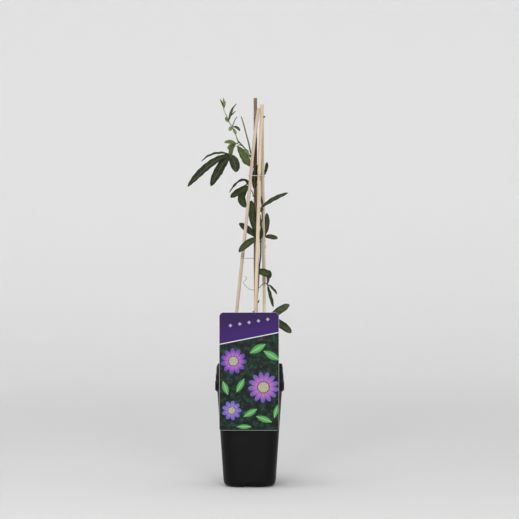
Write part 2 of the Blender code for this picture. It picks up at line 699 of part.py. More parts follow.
def make_clip():
    """A bent strip, glued to the card's back, over the rim and down inside the pot."""
    half = CLIP_THICKNESS / 2
    front = [(card_back(z) + GAP / MM + half, z) for z in (CLIP_TOP, 215, 200)]
    line = [*front, (-55, 197.4), (-54.1, 196.3), (-52.6, 195.95), (-51.7, 195.5),
            (CLIP_INSIDE_Y, 194.2), (CLIP_INSIDE_Y, CLIP_FOOT)]
    bm = bmesh.new()
    rings = []
    for i, (y, z) in enumerate(line):
        before, after = line[max(i - 1, 0)], line[min(i + 1, len(line) - 1)]
        along = Vector((0, after[0] - before[0], after[1] - before[1])).normalized()
        across = along.cross(Vector((1, 0, 0))) * half
        centre = Vector((0, y, z))
        edge = Vector((CLIP_WIDTH / 2, 0, 0))
        rings.append([bm.verts.new(p * MM) for p in (centre - edge - across, centre + edge - across,
                                                     centre + edge + across, centre - edge + across)])
    skin(bm, rings)
    return object_from("label_clip", bm, "clip_plastic")


def main():
    clear_scene()
    make_pot()
    make_soil()
    for name, cane in CANES.items():
        make_cane(name, cane, "old_bamboo" if name == "cane_old" else "bamboo")
    for name, tie in TIES.items():
        make_tie(name, tie)
    stem = tube_object("vine_stem", STEM, STEM_RADII, 8, 3, "vine_bark")
    boolean(stem, [tube_object("bud", STEM_BUD, BUD_RADII, 7, 2, "vine_bark")], "UNION")
    for name, tendril in TENDRILS.items():
        start = off_stem(tendril["leaves_stem_at"], tendril["points"][0])
        tube_object(name, [*start, *tendril["points"]], tendril["radii"], 6, 4, "young_green")
    make_shoot()
    for name, leaf in LEAVES.items():
        make_leaf(name, leaf)
    make_card()
    make_clip()


main()
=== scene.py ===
import random
from math import copysign, cos, exp, hypot, pi, radians, sin, sqrt, tan

import bmesh
import bpy
from mathutils import Matrix, Vector, noise


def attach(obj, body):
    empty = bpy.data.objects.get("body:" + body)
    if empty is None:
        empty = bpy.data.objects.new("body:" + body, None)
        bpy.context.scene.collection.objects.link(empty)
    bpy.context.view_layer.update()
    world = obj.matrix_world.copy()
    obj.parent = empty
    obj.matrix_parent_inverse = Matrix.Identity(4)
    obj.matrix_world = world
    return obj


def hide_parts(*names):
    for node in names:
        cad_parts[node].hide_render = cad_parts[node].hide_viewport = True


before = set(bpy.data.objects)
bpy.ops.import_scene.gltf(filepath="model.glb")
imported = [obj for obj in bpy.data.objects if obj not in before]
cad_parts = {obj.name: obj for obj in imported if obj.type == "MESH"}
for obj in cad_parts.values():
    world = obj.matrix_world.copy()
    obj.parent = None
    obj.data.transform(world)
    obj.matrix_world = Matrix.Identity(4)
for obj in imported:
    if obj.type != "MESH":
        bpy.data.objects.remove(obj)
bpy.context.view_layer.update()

mm = 0.001
random.seed(27)
print("frame loaded:", len(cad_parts), "nodes")


# a shape: points in mm, each with a grain (where on the piece) and a tone (age, knot or chance)
def newShape():
    return {"points": [], "faces": [], "finish": [], "grain": [], "tone": []}


def addPoint(shape, point, grain, tone=0):
    shape["points"].append(tuple(c * mm for c in point))
    shape["grain"].extend(grain)
    shape["tone"].append(tone)
    return len(shape["tone"]) - 1


def addFace(shape, corners, finish=0):
    shape["faces"].append(tuple(corners))
    shape["finish"].append(finish)


def addSkin(shape, rings, finish=0, caps=(True, True)):
    # joins rings of points; the caps close the first and the last one
    for low, high in zip(rings, rings[1:]):
        for i in range(len(low)):
            j = (i + 1) % len(low)
            addFace(shape, (low[i], low[j], high[j], high[i]), finish)
    for capped, corners in zip(caps, (reversed(rings[0]), rings[-1])):
        if capped:
            addFace(shape, corners, finish)


def addLoft(shape, rows, caps=(True, True)):
    addSkin(shape, [[addPoint(shape, p, p) for p in row] for row in rows], caps=caps)


def turns(count):
    return [2 * pi * k / count for k in range(count)]


def smoothPath(rows, perSpan):
    rows = [Vector(row) for row in rows]
    ends = [rows[0] * 2 - rows[1], *rows, rows[-1] * 2 - rows[-2]]
    path = []
    for a, b, c, d in zip(ends, ends[1:], ends[2:], ends[3:]):
        for t in (step / perSpan for step in range(perSpan)):
            path.append(0.5 * (2 * b + (c - a) * t + (2 * a - 5 * b + 4 * c - d) * t**2
                               + (3 * b - a - 3 * c + d) * t**3))
    return [*path, rows[-1]]


def wayAt(path, i):
    return (path[min(i + 1, len(path) - 1)] - path[max(i - 1, 0)]).normalized()


def framesAlong(path):
    side = wayAt(path, 0).orthogonal().normalized()
    frames = []
    for i in range(len(path)):
        way = wayAt(path, i)
        side = (side - way * side.dot(way)).normalized()
        frames.append((side, way.cross(side)))
    return frames


def lengthsAlong(path):
    lengths = [0.0]
    for a, b in zip(path, path[1:]):
        lengths.append(lengths[-1] + (b - a).length)
    return lengths


def addTube(shape, path, radiusAt, sides, finish=0, tone=0, offset=0, caps=(True, True)):
    # radiusAt(along, share, angle) gives the radius; the tone is a number or goes by along and share
    lengths = lengthsAlong(path)
    rings = []
    for point, (side, up), along in zip(path, framesAlong(path), lengths):
        share = along / lengths[-1]
        shown = tone(along, share) if callable(tone) else tone
        ring = []
        for a in turns(sides):
            radius = radiusAt(along, share, a)
            x, y = radius * cos(a), radius * sin(a)
            ring.append(addPoint(shape, point + side * x + up * y, (x, y, along + offset), shown))
        rings.append(ring)
    addSkin(shape, rings, finish, caps)


def tapered(first, last):
    return lambda along, share, a: first + (last - first) * share


def meshOf(name, shape, finishes=()):
    mesh = bpy.data.meshes.new(name)
    mesh.from_pydata(shape["points"], [], shape["faces"])
    for finish in finishes:
        mesh.materials.append(finish)
    mesh.polygons.foreach_set("material_index", shape["finish"])
    mesh.attributes.new("grain", "FLOAT_VECTOR", "POINT").data.foreach_set("vector", shape["grain"])
    mesh.attributes.new("tone", "FLOAT", "POINT").data.foreach_set("value", shape["tone"])
    bm = bmesh.new()
    bm.from_mesh(mesh)
    bmesh.ops.recalc_face_normals(bm, faces=bm.faces)
    bm.to_mesh(mesh)
    bm.free()
    mesh.shade_smooth()
    return mesh


def placed(name, data):
    made = bpy.data.objects.new(name, data)
    bpy.context.scene.collection.objects.link(made)
    return made


def makePiece(name, shape, finishes, slotName, sharp, node=None):
    piece = placed(name, meshOf(name, shape, finishes))
    piece.data.set_sharp_from_angle(angle=radians(sharp))
    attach(piece, "root")
    if node:
        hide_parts(node)
    return piece


# finishes: each helper adds nodes to the finish that was started last
def startFinish(name, roughness, specular):
    global material, tree, shader
    material = bpy.data.materials.new(name)
    material.use_nodes = True
    tree = material.node_tree
    shader = tree.nodes["Principled BSDF"].inputs
    plug(roughness, shader["Roughness"])
    plug(specular, shader["Specular IOR Level"])


def finished(colour, relief, strength, depth):
    plug(colour, shader["Base Color"])
    bump = addNode("Bump", {"Height": relief, "Strength": strength, "Distance": depth})
    plug(bump[0], shader["Normal"])
    return material


def plug(value, socket):
    if isinstance(value, bpy.types.NodeSocket):
        tree.links.new(value, socket)
    else:
        socket.default_value = (*value, 1) if socket.type == "RGBA" else value


def addNode(kind, inputs=None, **settings):
    made = tree.nodes.new("ShaderNode" + kind)
    for key, value in settings.items():
        setattr(made, key, value)
    for key, value in (inputs or {}).items():
        plug(value, made.inputs[key])
    return made.outputs


def calc(operation, *values):
    return addNode("Math", dict(enumerate(values)), operation=operation)[0]


def plus(a, b):
    return calc("ADD", a, b)


def minus(a, b):
    return calc("SUBTRACT", a, b)


def times(a, b):
    return calc("MULTIPLY", a, b)


def absolute(a):
    return calc("ABSOLUTE", a)


def distance(a, b):
    return calc("SQRT", plus(times(a, a), times(b, b)))


def mixed(share, first, second, mode="MIX"):
    return addNode("Mix", {0: share, 6: first, 7: second}, data_type="RGBA", blend_type=mode)[2]


def ramped(value, low, high, first=0, last=1):
    return addNode("MapRange", {0: value, 1: low, 2: high, 3: first, 4: last},
                   interpolation_type="SMOOTHSTEP")[0]


def split(vector):
    return addNode("SeparateXYZ", {0: vector})


def stretched(vector, scale):
    return addNode("Mapping", {"Vector": vector, "Scale": scale})[0]


def grainOf():
    return addNode("Attribute", attribute_name="grain")["Vector"]


def toneOf():
    return addNode("Attribute", attribute_name="tone")["Fac"]


def placeOf():
    return addNode("TexCoord")["Object"]


def cloudy(vector, scale, detail=3, roughness=0.55):
    return addNode("TexNoise", {"Vector": vector, "Scale": scale, "Detail": detail,
                                "Roughness": roughness})["Fac"]


def grained(stretch, detail=3, roughness=0.55):
    return cloudy(stretched(grainOf(), stretch), 1, detail, roughness)


potValues = {
    # half width, corner radius and height of each ring
    "outside": [(35.5, 21, 0), (38.9, 22.8, 1.4), (41.4, 23.6, 4.2), (42.7, 24, 10), (52.3, 24, 153),
                (56.1, 24, 157), (56.1, 24, 158.2), (55.5, 23.5, 158.8), (55.4, 23.5, 168.2),
                (56, 24, 168.8), (56, 24, 170), (55.2, 23.5, 171.4), (55.1, 23.5, 172.2),
                (54.5, 23, 172.8), (54.4, 23, 180.6), (54.9, 23.3, 181.2), (54.9, 23.3, 182),
                (54.1, 22.8, 183.4), (53.8, 22.6, 193.4), (53.3, 22.2, 195)],
    "inside": [(52.7, 21.8, 195), (52.3, 21.6, 193.8), (52.5, 21.8, 184), (53.6, 22.5, 172),
               (54.6, 22.9, 158.8), (51.1, 22.9, 154.6), (41.4, 22.6, 9), (40.2, 21.8, 5.2), (37, 20, 4)],
    "cornerSoftness": 0.5, "wallPitch": 9, "bow": 0.35, "bowShape": 1.7, "bowFrom": 12, "bowTo": 150,
    "sharp": 32, "grips": [(158.8, 168.2, 55.95), (172.8, 180.6, 54.9)],   # low, high and reach of a band
    "gripPitch": 2.5, "gripWidth": 1.15, "gripDepth": 0.5, "gripCorner": 23.6,
    "channelWidth": 18, "channelHeight": 3, "channelFrom": 15, "channelTo": 70, "channelChamfer": 0.8,
    "drainRadius": 4, "drainOffset": 26,
    "colour": (0.0018, 0.0018, 0.0024), "dust": (0.012, 0.0118, 0.0116), "roughness": 0.4,
}


def roundedSquare(half, radius, z, arcSteps=14, sideSteps=10):
    flat = half - radius
    side = [Vector((half, -flat + 2 * flat * k / sideSteps, z)) for k in range(sideSteps)]
    arc = [Vector((flat + radius * cos(a), flat + radius * sin(a), z))
           for a in (pi / 2 * k / arcSteps for k in range(arcSteps))]
    return [Matrix.Rotation(quarter * pi / 2, 3, "Z") @ p for quarter in range(4) for p in side + arc]


def softened(profile, reach):
    # the same profile with each corner turned into a small curve
    rows = [Vector(row) for row in profile]
    made = [rows[0]]
    for before, here, after in zip(rows, rows[1:], rows[2:]):
        a, b = (here + way.normalized() * min(reach, way.length * 0.4)
                for way in (before - here, after - here))
        made += [a, a * 0.25 + here * 0.5 + b * 0.25, b]
    return [*made, rows[-1]]


def plasticFinish():
    v = potValues
    startFinish("potPlastic", v["roughness"], 0.13)
    place = placeOf()
    streaks = cloudy(stretched(place, (90, 90, 6)), 1, 4)
    dusty = ramped(cloudy(place, 26, 5, 0.65), 0.56, 0.8, 0, 0.5)
    low = ramped(split(place)[2], 0.03, 0, 0, 0.35)
    share = times(plus(dusty, low), streaks)
    plug(ramped(streaks, 0.3, 0.7, v["roughness"] - 0.05, v["roughness"] + 0.14), shader["Roughness"])
    relief = plus(cloudy(place, 1500, 2), times(cloudy(place, 40, 1), 6))
    return finished(mixed(share, v["colour"], v["dust"]), relief, 0.22, 0.0004)


def cutter(name, rows):
    shape = newShape()
    addLoft(shape, rows)
    return bpy.data.objects.new(name, meshOf(name, shape))


def channelCutters():
    # the shallow ways under the foot, one to the middle of each side
    v = potValues
    half, top, chamfer = v["channelWidth"] / 2, v["channelHeight"], v["channelChamfer"]
    profile = [(-half, -1), (half, -1), (half, top - chamfer), (half - chamfer, top), (chamfer - half, top),
               (-half, top - chamfer)]
    rows = [[Vector((x, y, z)) for y, z in profile] for x in (v["channelFrom"], v["channelTo"])]
    return [cutter(f"channel{quarter}", [[Matrix.Rotation(quarter * pi / 2, 3, "Z") @ p for p in row]
                                         for row in rows]) for quarter in range(4)]


def drainCutters():
    # eight holes through the floor, round the middle
    radius, offset = potValues["drainRadius"], potValues["drainOffset"]
    places = [(x, y) for x in (-1, 0, 1) for y in (-1, 0, 1) if x or y]
    return [cutter(f"drain{x}{y}", [[(radius * cos(a) + x * offset, radius * sin(a) + y * offset, z)
                                     for a in turns(24)] for z in (-2, 6)]) for x, y in places]


def cutWith(piece, cutters):
    group = bpy.data.collections.new(piece.name + "Cutters")
    bpy.context.scene.collection.children.link(group)
    for made in cutters:
        group.objects.link(made)
    modifier = piece.modifiers.new("cut", "BOOLEAN")
    modifier.operation, modifier.operand_type = "DIFFERENCE", "COLLECTION"
    modifier.collection, modifier.solver = group, "EXACT"
    result = bpy.data.meshes.new_from_object(piece.evaluated_get(bpy.context.evaluated_depsgraph_get()))
    piece.modifiers.clear()
    piece.data = result
    for made in cutters:
        bpy.data.objects.remove(made, do_unlink=True)
    bpy.data.collections.remove(group)


def makePot(finish):
    v = potValues
    outside, inside = (softened(v[face], v["cornerSoftness"]) for face in ("outside", "inside"))
    wall = []
    for a, b in zip(outside, outside[1:]):
        count = max(1, int(abs(b.z - a.z) / v["wallPitch"]))
        wall += [a.lerp(b, k / count) for k in range(count)]
    rows = []
    for half, radius, z in [*wall, outside[-1], *inside]:
        rows.append(roundedSquare(half, radius, z))
        if v["bowFrom"] < z < v["bowTo"]:
            # the flat walls draw in a little between the corners, as thin moulded ones do
            bow = v["bow"] * sin(pi * (z - v["bowFrom"]) / (v["bowTo"] - v["bowFrom"]))
            for p in rows[-1]:
                near = min(abs(p.x), abs(p.y)) / half
                p -= Vector((p.x, p.y, 0)).normalized() * bow * max(0, 1 - near * v["bowShape"])
    shape = newShape()
    addLoft(shape, rows)
    pot = makePiece("nurseryPot", shape, [finish], "pot_plastic", v["sharp"], "pot")
    cutWith(pot, channelCutters() + drainCutters())
    pot.data.set_sharp_from_angle(angle=radians(v["sharp"]))


def makeGrips(finish):
    # rows of small upright ribs round the collar
    v = potValues
    half, deep = v["gripWidth"] / 2, v["gripDepth"]
    section = [(-half, -0.3), (-half, deep * 0.5), (-half * 0.6, deep), (half * 0.6, deep),
               (half, deep * 0.5), (half, -0.3)]
    shape = newShape()
    for low, high, reach in v["grips"]:
        outline = roundedSquare(reach - deep, v["gripCorner"], 0, arcSteps=24, sideSteps=40)
        lengths = lengthsAlong(outline + outline[:1])
        count = int(lengths[-1] / v["gripPitch"])
        spot = 0
        for k in range(count):
            target = lengths[-1] * k / count
            while lengths[spot + 1] < target:
                spot += 1
            a, b = outline[spot], outline[(spot + 1) % len(outline)]
            centre = a.lerp(b, (target - lengths[spot]) / (lengths[spot + 1] - lengths[spot]))
            along = (b - a).normalized()
            out = Vector((along.y, -along.x, 0))
            addSkin(shape, [[addPoint(shape, centre + along * s * (0.6 + 0.4 * size)
                                      + out * (d * size if d > 0 else d) + Vector((0, 0, z)), (s, d, z))
                             for s, d in section]
                            for z, size in ((low, 0.4), (low + 0.5, 1), (high - 0.5, 1), (high, 0.4))])
    makePiece("potGrips", shape, [finish], "pot_plastic", 30)


potPlastic = plasticFinish()
makePot(potPlastic)
makeGrips(potPlastic)
print("pot done")


soilValues = {
    "top": 183, "half": 52.1, "corner": 21.4, "settled": 0.6, "lumps": 1.5, "lumpScale": 0.07,
    "crumbs": 0.35, "crumbScale": 0.33, "edgeDrop": 1.2, "edgeReach": 1.6,
    "sides": [(36, 19, 4.4), (39.4, 20.4, 5.8), (40.8, 21.4, 9.4), (50.5, 21.8, 154.8), (54.2, 22.5, 159.2),
              (53.2, 22.2, 172), (52.3, 21.6, 181)],
    "spread": 50, "straight": 30, "cornerReach": 21, "clipGap": (12, -47),
    "chips": 620, "chipLength": (1.2, 5.5), "chipTilt": 0.35,
    "fibres": 170, "fibreLength": (3, 9), "perlite": 70, "perliteSize": (0.9, 2.1),
    # name, dark and pale colour, scale of the grit and roughness of each finish
    "finishes": [
        ("compost", (0.020, 0.012, 0.007), (0.05, 0.03, 0.017), 420, 0.95),
        ("barkChip", (0.03, 0.016, 0.009), (0.075, 0.038, 0.018), 260, 0.85),
        ("peatFibre", (0.05, 0.028, 0.014), (0.24, 0.15, 0.07), 300, 0.85),
        ("perlite", (0.42, 0.4, 0.36), (0.62, 0.6, 0.55), 700, 0.9),
    ],
}


def soilHeight(x, y):
    v, p = soilValues, Vector((x, y, 0))
    lump = noise.noise(p * v["lumpScale"]) + noise.noise(p * v["crumbScale"]) * v["crumbs"]
    return v["top"] + lump * v["lumps"] - v["settled"]


def soilFinish(name, dark, pale, scale, roughness):
    startFinish(name, roughness, 0.18)
    grit = cloudy(placeOf(), scale, 6, 0.7)
    share = plus(ramped(grit, 0.35, 0.75, 0, 0.7), times(toneOf(), 0.5))
    return finished(mixed(share, dark, pale), grit, 0.7, 0.0012)


def makeSoil(finish):
    v = soilValues
    rows = [roundedSquare(*row) for row in v["sides"]]
    for inset in [0, 0.8, 1.8, 3, 4.5, 6] + [6 + 1.5 * k for k in range(1, 30)]:
        half = v["half"] - inset
        corner = max(v["corner"] - inset * 0.42, half * 0.35) if inset else v["corner"]
        rows.append(roundedSquare(half, min(corner, half * 0.98), 0))
        for p in rows[-1]:   # drawn down where it meets the wall
            p.z = soilHeight(p.x, p.y) - v["edgeDrop"] * exp(-inset / v["edgeReach"])
    shape = newShape()
    addLoft(shape, rows)
    makePiece("compost", shape, [finish], "potting_soil", 80, "soil")


def scatterSpot(reach):
    # inside the pot, and clear of the canes, the stem and the label's clip
    v = soilValues
    gapHalf, gapFrom = v["clipGap"]
    while True:
        x, y = (random.uniform(-v["spread"], v["spread"]) for _ in range(2))
        over = hypot(max(abs(x) - v["straight"], 0), max(abs(y) - v["straight"], 0))
        clear = all(hypot(x - cx, y - cy) >= radius + reach for cx, cy, radius in stakesAtSoil)
        if over < v["cornerReach"] - reach and clear and (y > gapFrom or abs(x) > gapHalf):
            return x, y


def addChip(shape, x, y, size, tone):
    # a broken flake: a squashed box with every corner knocked about
    turn = Matrix.Rotation(random.uniform(0, 6.28), 3, "Z")
    for axis in "XY":
        turn = turn @ Matrix.Rotation(random.gauss(0, soilValues["chipTilt"]), 3, axis)
    z = soilHeight(x, y) + size[2] * 0.25
    rings = []
    for sz in (-1, 1):
        ring = []
        for sx, sy in ((-1, -1), (0.1, -1.15), (1, -1), (1, 1), (-0.1, 1.1), (-1, 1)):
            p = Vector((sx * size[0], sy * size[1], sz * size[2])) / 2
            p = Vector(c * random.uniform(0.6, 1.1) for c in p)
            ring.append(addPoint(shape, turn @ p + Vector((x, y, z)), (x, y, z), tone))
        rings.append(ring)
    addSkin(shape, rings)


def makeTopping(barkFinish, fibreFinish, perliteFinish):
    v = soilValues
    bark, fibres, perlite = newShape(), newShape(), newShape()
    for _ in range(v["chips"]):
        length = random.uniform(*v["chipLength"])
        x, y = scatterSpot(length / 2)
        size = (length, length * random.uniform(0.35, 0.8), random.uniform(0.6, 1.6))
        addChip(bark, x, y, size, random.random())
    for _ in range(v["fibres"]):
        x, y = scatterSpot(4)
        a, length = random.uniform(0, 6.28), random.uniform(*v["fibreLength"])
        rows = []
        for s in ((k / 3 - 0.5) * length for k in range(4)):
            px, py = (c + part * s + random.gauss(0, 0.4) for c, part in ((x, cos(a)), (y, sin(a))))
            rows.append((px, py, soilHeight(px, py) + random.uniform(0.2, 1.1)))
        addTube(fibres, smoothPath(rows, 3), tapered(0.22, 0.12), 5, tone=random.random())
    for _ in range(v["perlite"]):
        size = random.uniform(*v["perliteSize"])
        x, y = scatterSpot(size)
        addChip(perlite, x, y, (size, size * 0.85, size * 0.8), random.random())
    makePiece("barkChips", bark, [barkFinish], "potting_soil", 20)
    makePiece("peatFibres", fibres, [fibreFinish], "potting_soil", 60)
    makePiece("perliteGrains", perlite, [perliteFinish], "potting_soil", 20)


canes = {   # radius, centre line from the bottom up, knots above the bottom and how dark each is
    "caneLeft": {
        "node": "cane_left", "radius": 2.7, "slot": "bamboo",
        "points": [(-36.5, 4, 116), (-31.4, 2, 183), (-21.4, -0.5, 283), (-11.8, -3, 372),
                   (-2, -4.9, 466), (4.9, -6.2, 539), (9.6, -7.6, 580), (14.4, -8.9, 615.5)],
        "knots": {60: 0.3, 175: 0.35, 257.5: 0.5, 355: 0.3, 470: 0.4},
        "pale": (0.49, 0.41, 0.325), "deep": (0.385, 0.30, 0.215), "knot": (0.17, 0.15, 0.09),
        # height, reach, side, colour and strength of each stretch of another colour: some are the cane's own
        # stains, and the marked ones are painted shade or painted light
        "stainsAndPaintedLight": [(375, 4.2, 0, (0.20, 0.19, 0.10), 0.75), (366, 6, 0, (0.40, 0.35, 0.20), 0.6)],
    },
    "caneFront": {
        "node": "cane_front", "radius": 3, "slot": "bamboo",
        "points": [(5.7, -38, 116), (7.4, -33.5, 185), (9.8, -26, 282), (12.1, -18.5, 370),
                   (14.9, -10.6, 466), (16, -7.6, 523), (18.7, -5.2, 580), (20, -3.8, 622)],
        "knots": {45: 0.3, 150: 0.35, 255: 0.3, 330: 0.45, 440: 0.35},
        "pale": (0.56, 0.45, 0.325), "deep": (0.445, 0.33, 0.215), "knot": (0.30, 0.20, 0.12),
        "stainsAndPaintedLight": [(502, 6, 1, (0.20, 0.11, 0.05), 0.75)],
    },
    "caneBack": {
        "node": "cane_back", "radius": 2.8, "slot": "bamboo",
        "points": [(26.3, 38, 116), (25.4, 31, 183), (24.1, 22, 282), (22.3, 12.4, 420),
                   (21.1, 7.2, 499), (20.4, 5, 565), (19.9, 4.2, 622)],
        "knots": {80: 0.4, 185: 0.4, 300: 0.35, 395: 0.45, 480: 0.6},
        "stub": [(20.1, 4.4, 601.8), (22.6, 4.1, 602.2), (25.1, 3.9, 602.6)], "stubRadius": 1.7,
        "pale": (0.50, 0.45, 0.32), "deep": (0.35, 0.30, 0.20), "knot": (0.22, 0.17, 0.10),
        # the pale stretch at 296 is painted light: it lifts the low part of this cane, which the label and
        # the pot shade
        "stainsAndPaintedLight": [(296, 34, 0, (0.84, 0.78, 0.55), 0.85)],
    },
    "caneOld": {
        "node": "cane_old", "radius": 2.9, "slot": "old_bamboo",
        "points": [(9.6, 14, 40), (9.9, 10.5, 185), (9.9, 8.5, 300), (9.3, 7, 370), (9.3, 5, 500),
                   (9.1, 3, 633)],
        "knots": {90: 0.7, 210: 0.7, 330: 0.6, 450: 0.6, 560: 0.7},
        "pale": (0.238, 0.169, 0.109), "deep": (0.115, 0.0683, 0.0351), "knot": (0.07, 0.04, 0.02),
        # the stretch at 533 is painted shade: a near-black band where this cane stands in the shadow of the
        # other canes and the stem; the grey-brown top and the reddish side are the cane's own colour
        "stainsAndPaintedLight": [(628, 16, 0, (0.115, 0.080, 0.056), 0.55), (533, 40, 0, (0.036, 0.014, 0.006), 0.97),
                   (480, 14, -1, (0.20, 0.095, 0.030), 0.8)],
    },
}
caneValues = {
    "sides": 24, "pitch": 4, "nearPitch": 1.4, "knotPitch": 0.45, "knotRise": 0.1, "knotDip": 0.03,
    "bore": 0.42, "boreDepth": 5, "sun": (0.92, 0.84, 0.76),
    "stubEnd": {"pale": (0.16, 0.125, 0.09), "deep": (0.08, 0.055, 0.035), "knot": (0.05, 0.035, 0.02)},
    "cutPale": (0.58, 0.44, 0.28), "cutDeep": (0.16, 0.10, 0.05),
}


def caneFinish(name, cane):
    startFinish(name, 0.5, 0.25)
    streaks = grained((0.5, 0.5, 0.012), 4, 0.6)
    fine = grained((4, 4, 0.06), 3, 0.6)
    patches = grained((0.06, 0.06, 0.022), 2)
    share = plus(ramped(streaks, 0.42, 0.68, 0, 0.6), ramped(fine, 0.5, 0.75, 0, 0.35))
    warm = mixed(ramped(patches, 0.45, 0.7, 0, 0.5), (1, 1, 1), caneValues["sun"])
    colour = mixed(1, mixed(share, cane["pale"], cane["deep"]), warm, "MULTIPLY")
    colour = mixed(ramped(grained((1.5, 1.5, 0.5), 2, 0.5), 0.71, 0.76, 0, 0.5), colour, cane["knot"])
    colour = mixed(ramped(toneOf(), 0.1, 0.9, 0, 0.9), colour, cane["knot"])
    place = split(placeOf())
    # stretches of another colour: on the old cane and the back cane some of them are painted shade and
    # painted light, not stains
    for height, reach, side, stainAndPaintedLight, strength in cane.get("stainsAndPaintedLight", []):
        away = calc("DIVIDE", absolute(minus(place[2], height * mm)), reach * mm)
        share = ramped(plus(away, times(minus(patches, 0.5), 0.6)), 1.1, 0.75, 0, strength)
        if side:   # on one side only, -1 or 1
            across = times(minus(place[0], pointAt(cane["line"], height).x * mm), side / mm)
            share = times(share, ramped(across, 0, 1.4))
        colour = mixed(share, colour, stainAndPaintedLight)
    plug(ramped(streaks, 0.3, 0.7, 0.42, 0.62), shader["Roughness"])
    return finished(colour, plus(fine, streaks), 0.35, 0.0003)


def cutEndFinish():
    v = caneValues
    startFinish("caneCutEnd", 0.85, 0.2)
    pores = addNode("TexVoronoi", {"Vector": placeOf(), "Scale": 2600.0})["Distance"]
    return finished(mixed(ramped(pores, 0.2, 0.5), v["cutDeep"], v["cutPale"]), pores, 0.5, 0.0003)


def pointAt(path, height):
    # where a rising path passes a height
    height = min(max(height, path[0].z), path[-1].z)
    for low, high in zip(path, path[1:]):
        if high.z >= height:
            break
    return low.lerp(high, (height - low.z) / (high.z - low.z))


def addCutTop(shape, path, radius):
    # a rim, and a short bore down the middle
    v = caneValues
    along = (path[-1] - path[-2]).normalized()
    side, up = framesAlong(path)[-1]
    last = len(shape["points"])
    rings = [list(range(last - v["sides"], last))]
    for size, depth in ((v["bore"] + 0.06, 0), (v["bore"], 0.3), (v["bore"] * 0.9, v["boreDepth"])):
        spots = [path[-1] - along * depth + (side * cos(a) + up * sin(a)) * radius * size
                 for a in turns(v["sides"])]
        rings.append([addPoint(shape, p, p) for p in spots])
    addSkin(shape, rings, 1, (False, True))


def makeCane(name, cane):
    v, radius, line = caneValues, cane["radius"], cane["line"]
    low, top = line[0].z, line[-1].z
    knots = {low + k: dark for k, dark in cane["knots"].items()}
    heights = [low]
    while heights[-1] < top - 1:
        near = min(abs(heights[-1] - k) for k in knots)
        step = v["knotPitch"] if near < 3.2 else v["nearPitch"] if near <= 7 else v["pitch"]
        heights.append(heights[-1] + step)
    path = [pointAt(line, h) for h in [h for h in heights if h < top - 0.6] + [top - 0.25, top]]
    total = lengthsAlong(path)[-1]
    seed = random.uniform(0, 90)

    def radiusAt(along, share, a):
        h = low + along * (top - low) / total
        swell = sum(v["knotRise"] * exp(-((h - k) / 0.85) ** 2)
                    - v["knotDip"] * exp(-((h - k + 2.2) / 0.9) ** 2) for k in knots)
        uneven = noise.noise(Vector((cos(a) * 0.7, sin(a) * 0.7, h * 0.012 + seed))) * 0.035
        return radius * (1 - 0.05 * exp(-(top - h) / 0.3)) * (0.985 + swell + min(uneven, 0.012))

    def toneAt(along, share):
        h = low + along * (top - low) / total
        return max(dark * exp(-((h - k + 0.8) / 1.1) ** 2) for k, dark in knots.items())

    shape = newShape()
    addTube(shape, path, radiusAt, v["sides"], 0, toneAt, seed * 10, (True, False))
    addCutTop(shape, path, radius)
    if "stub" in cane:
        thick = cane["stubRadius"]
        addTube(shape, smoothPath(cane["stub"], 4), tapered(thick, thick * 0.88), 14, 2,
                lambda along, share: share)
    makePiece(name, shape, [caneFinish(name + "Skin", cane), cutEnd, stubEnd], cane["slot"], 40, cane["node"])


cutEnd = cutEndFinish()
stubEnd = caneFinish("caneStubEnd", caneValues["stubEnd"])
for name, cane in canes.items():
    cane["line"] = smoothPath(cane["points"], 12)
    makeCane(name, cane)
print("canes done")


ties = {
    "tieUpper": {"node": "tie_upper", "canes": list(canes), "height": 505, "radius": 0.6,
                 "colour": (0.52, 0.49, 0.40), "tail": (-0.1, 1, -0.5)},
    "tieLower": {"node": "tie_lower", "canes": ["caneLeft", "caneOld"], "height": 370,
                 "radius": 0.45, "colour": (0.31, 0.31, 0.295), "tail": (-0.1, 1, -0.6)},
}
tieValues = {"clearance": 0.56, "sides": 12, "twists": 15, "twistTurn": 0.95, "twistPitch": 0.62}


def tieFinish(name, colour):
    startFinish(name, 0.5, 0.4)
    worn = cloudy(placeOf(), 420, 3)
    return finished(mixed(ramped(worn, 0.4, 0.7), colour, [c * 0.55 for c in colour]), worn, 0.3, 0.0002)


def hullLoop(circles, steps=24):
    # the way of a string drawn tight round some circles
    points = sorted((c.x + r * cos(a), c.y + r * sin(a)) for c, r in circles for a in turns(steps))

    def half(rows):
        chain = []
        for p in rows:
            while len(chain) > 1 and ((chain[-1][0] - chain[-2][0]) * (p[1] - chain[-2][1])
                                      <= (chain[-1][1] - chain[-2][1]) * (p[0] - chain[-2][0])):
                chain.pop()
            chain.append(p)
        return chain[:-1]

    return half(points) + half(reversed(points))


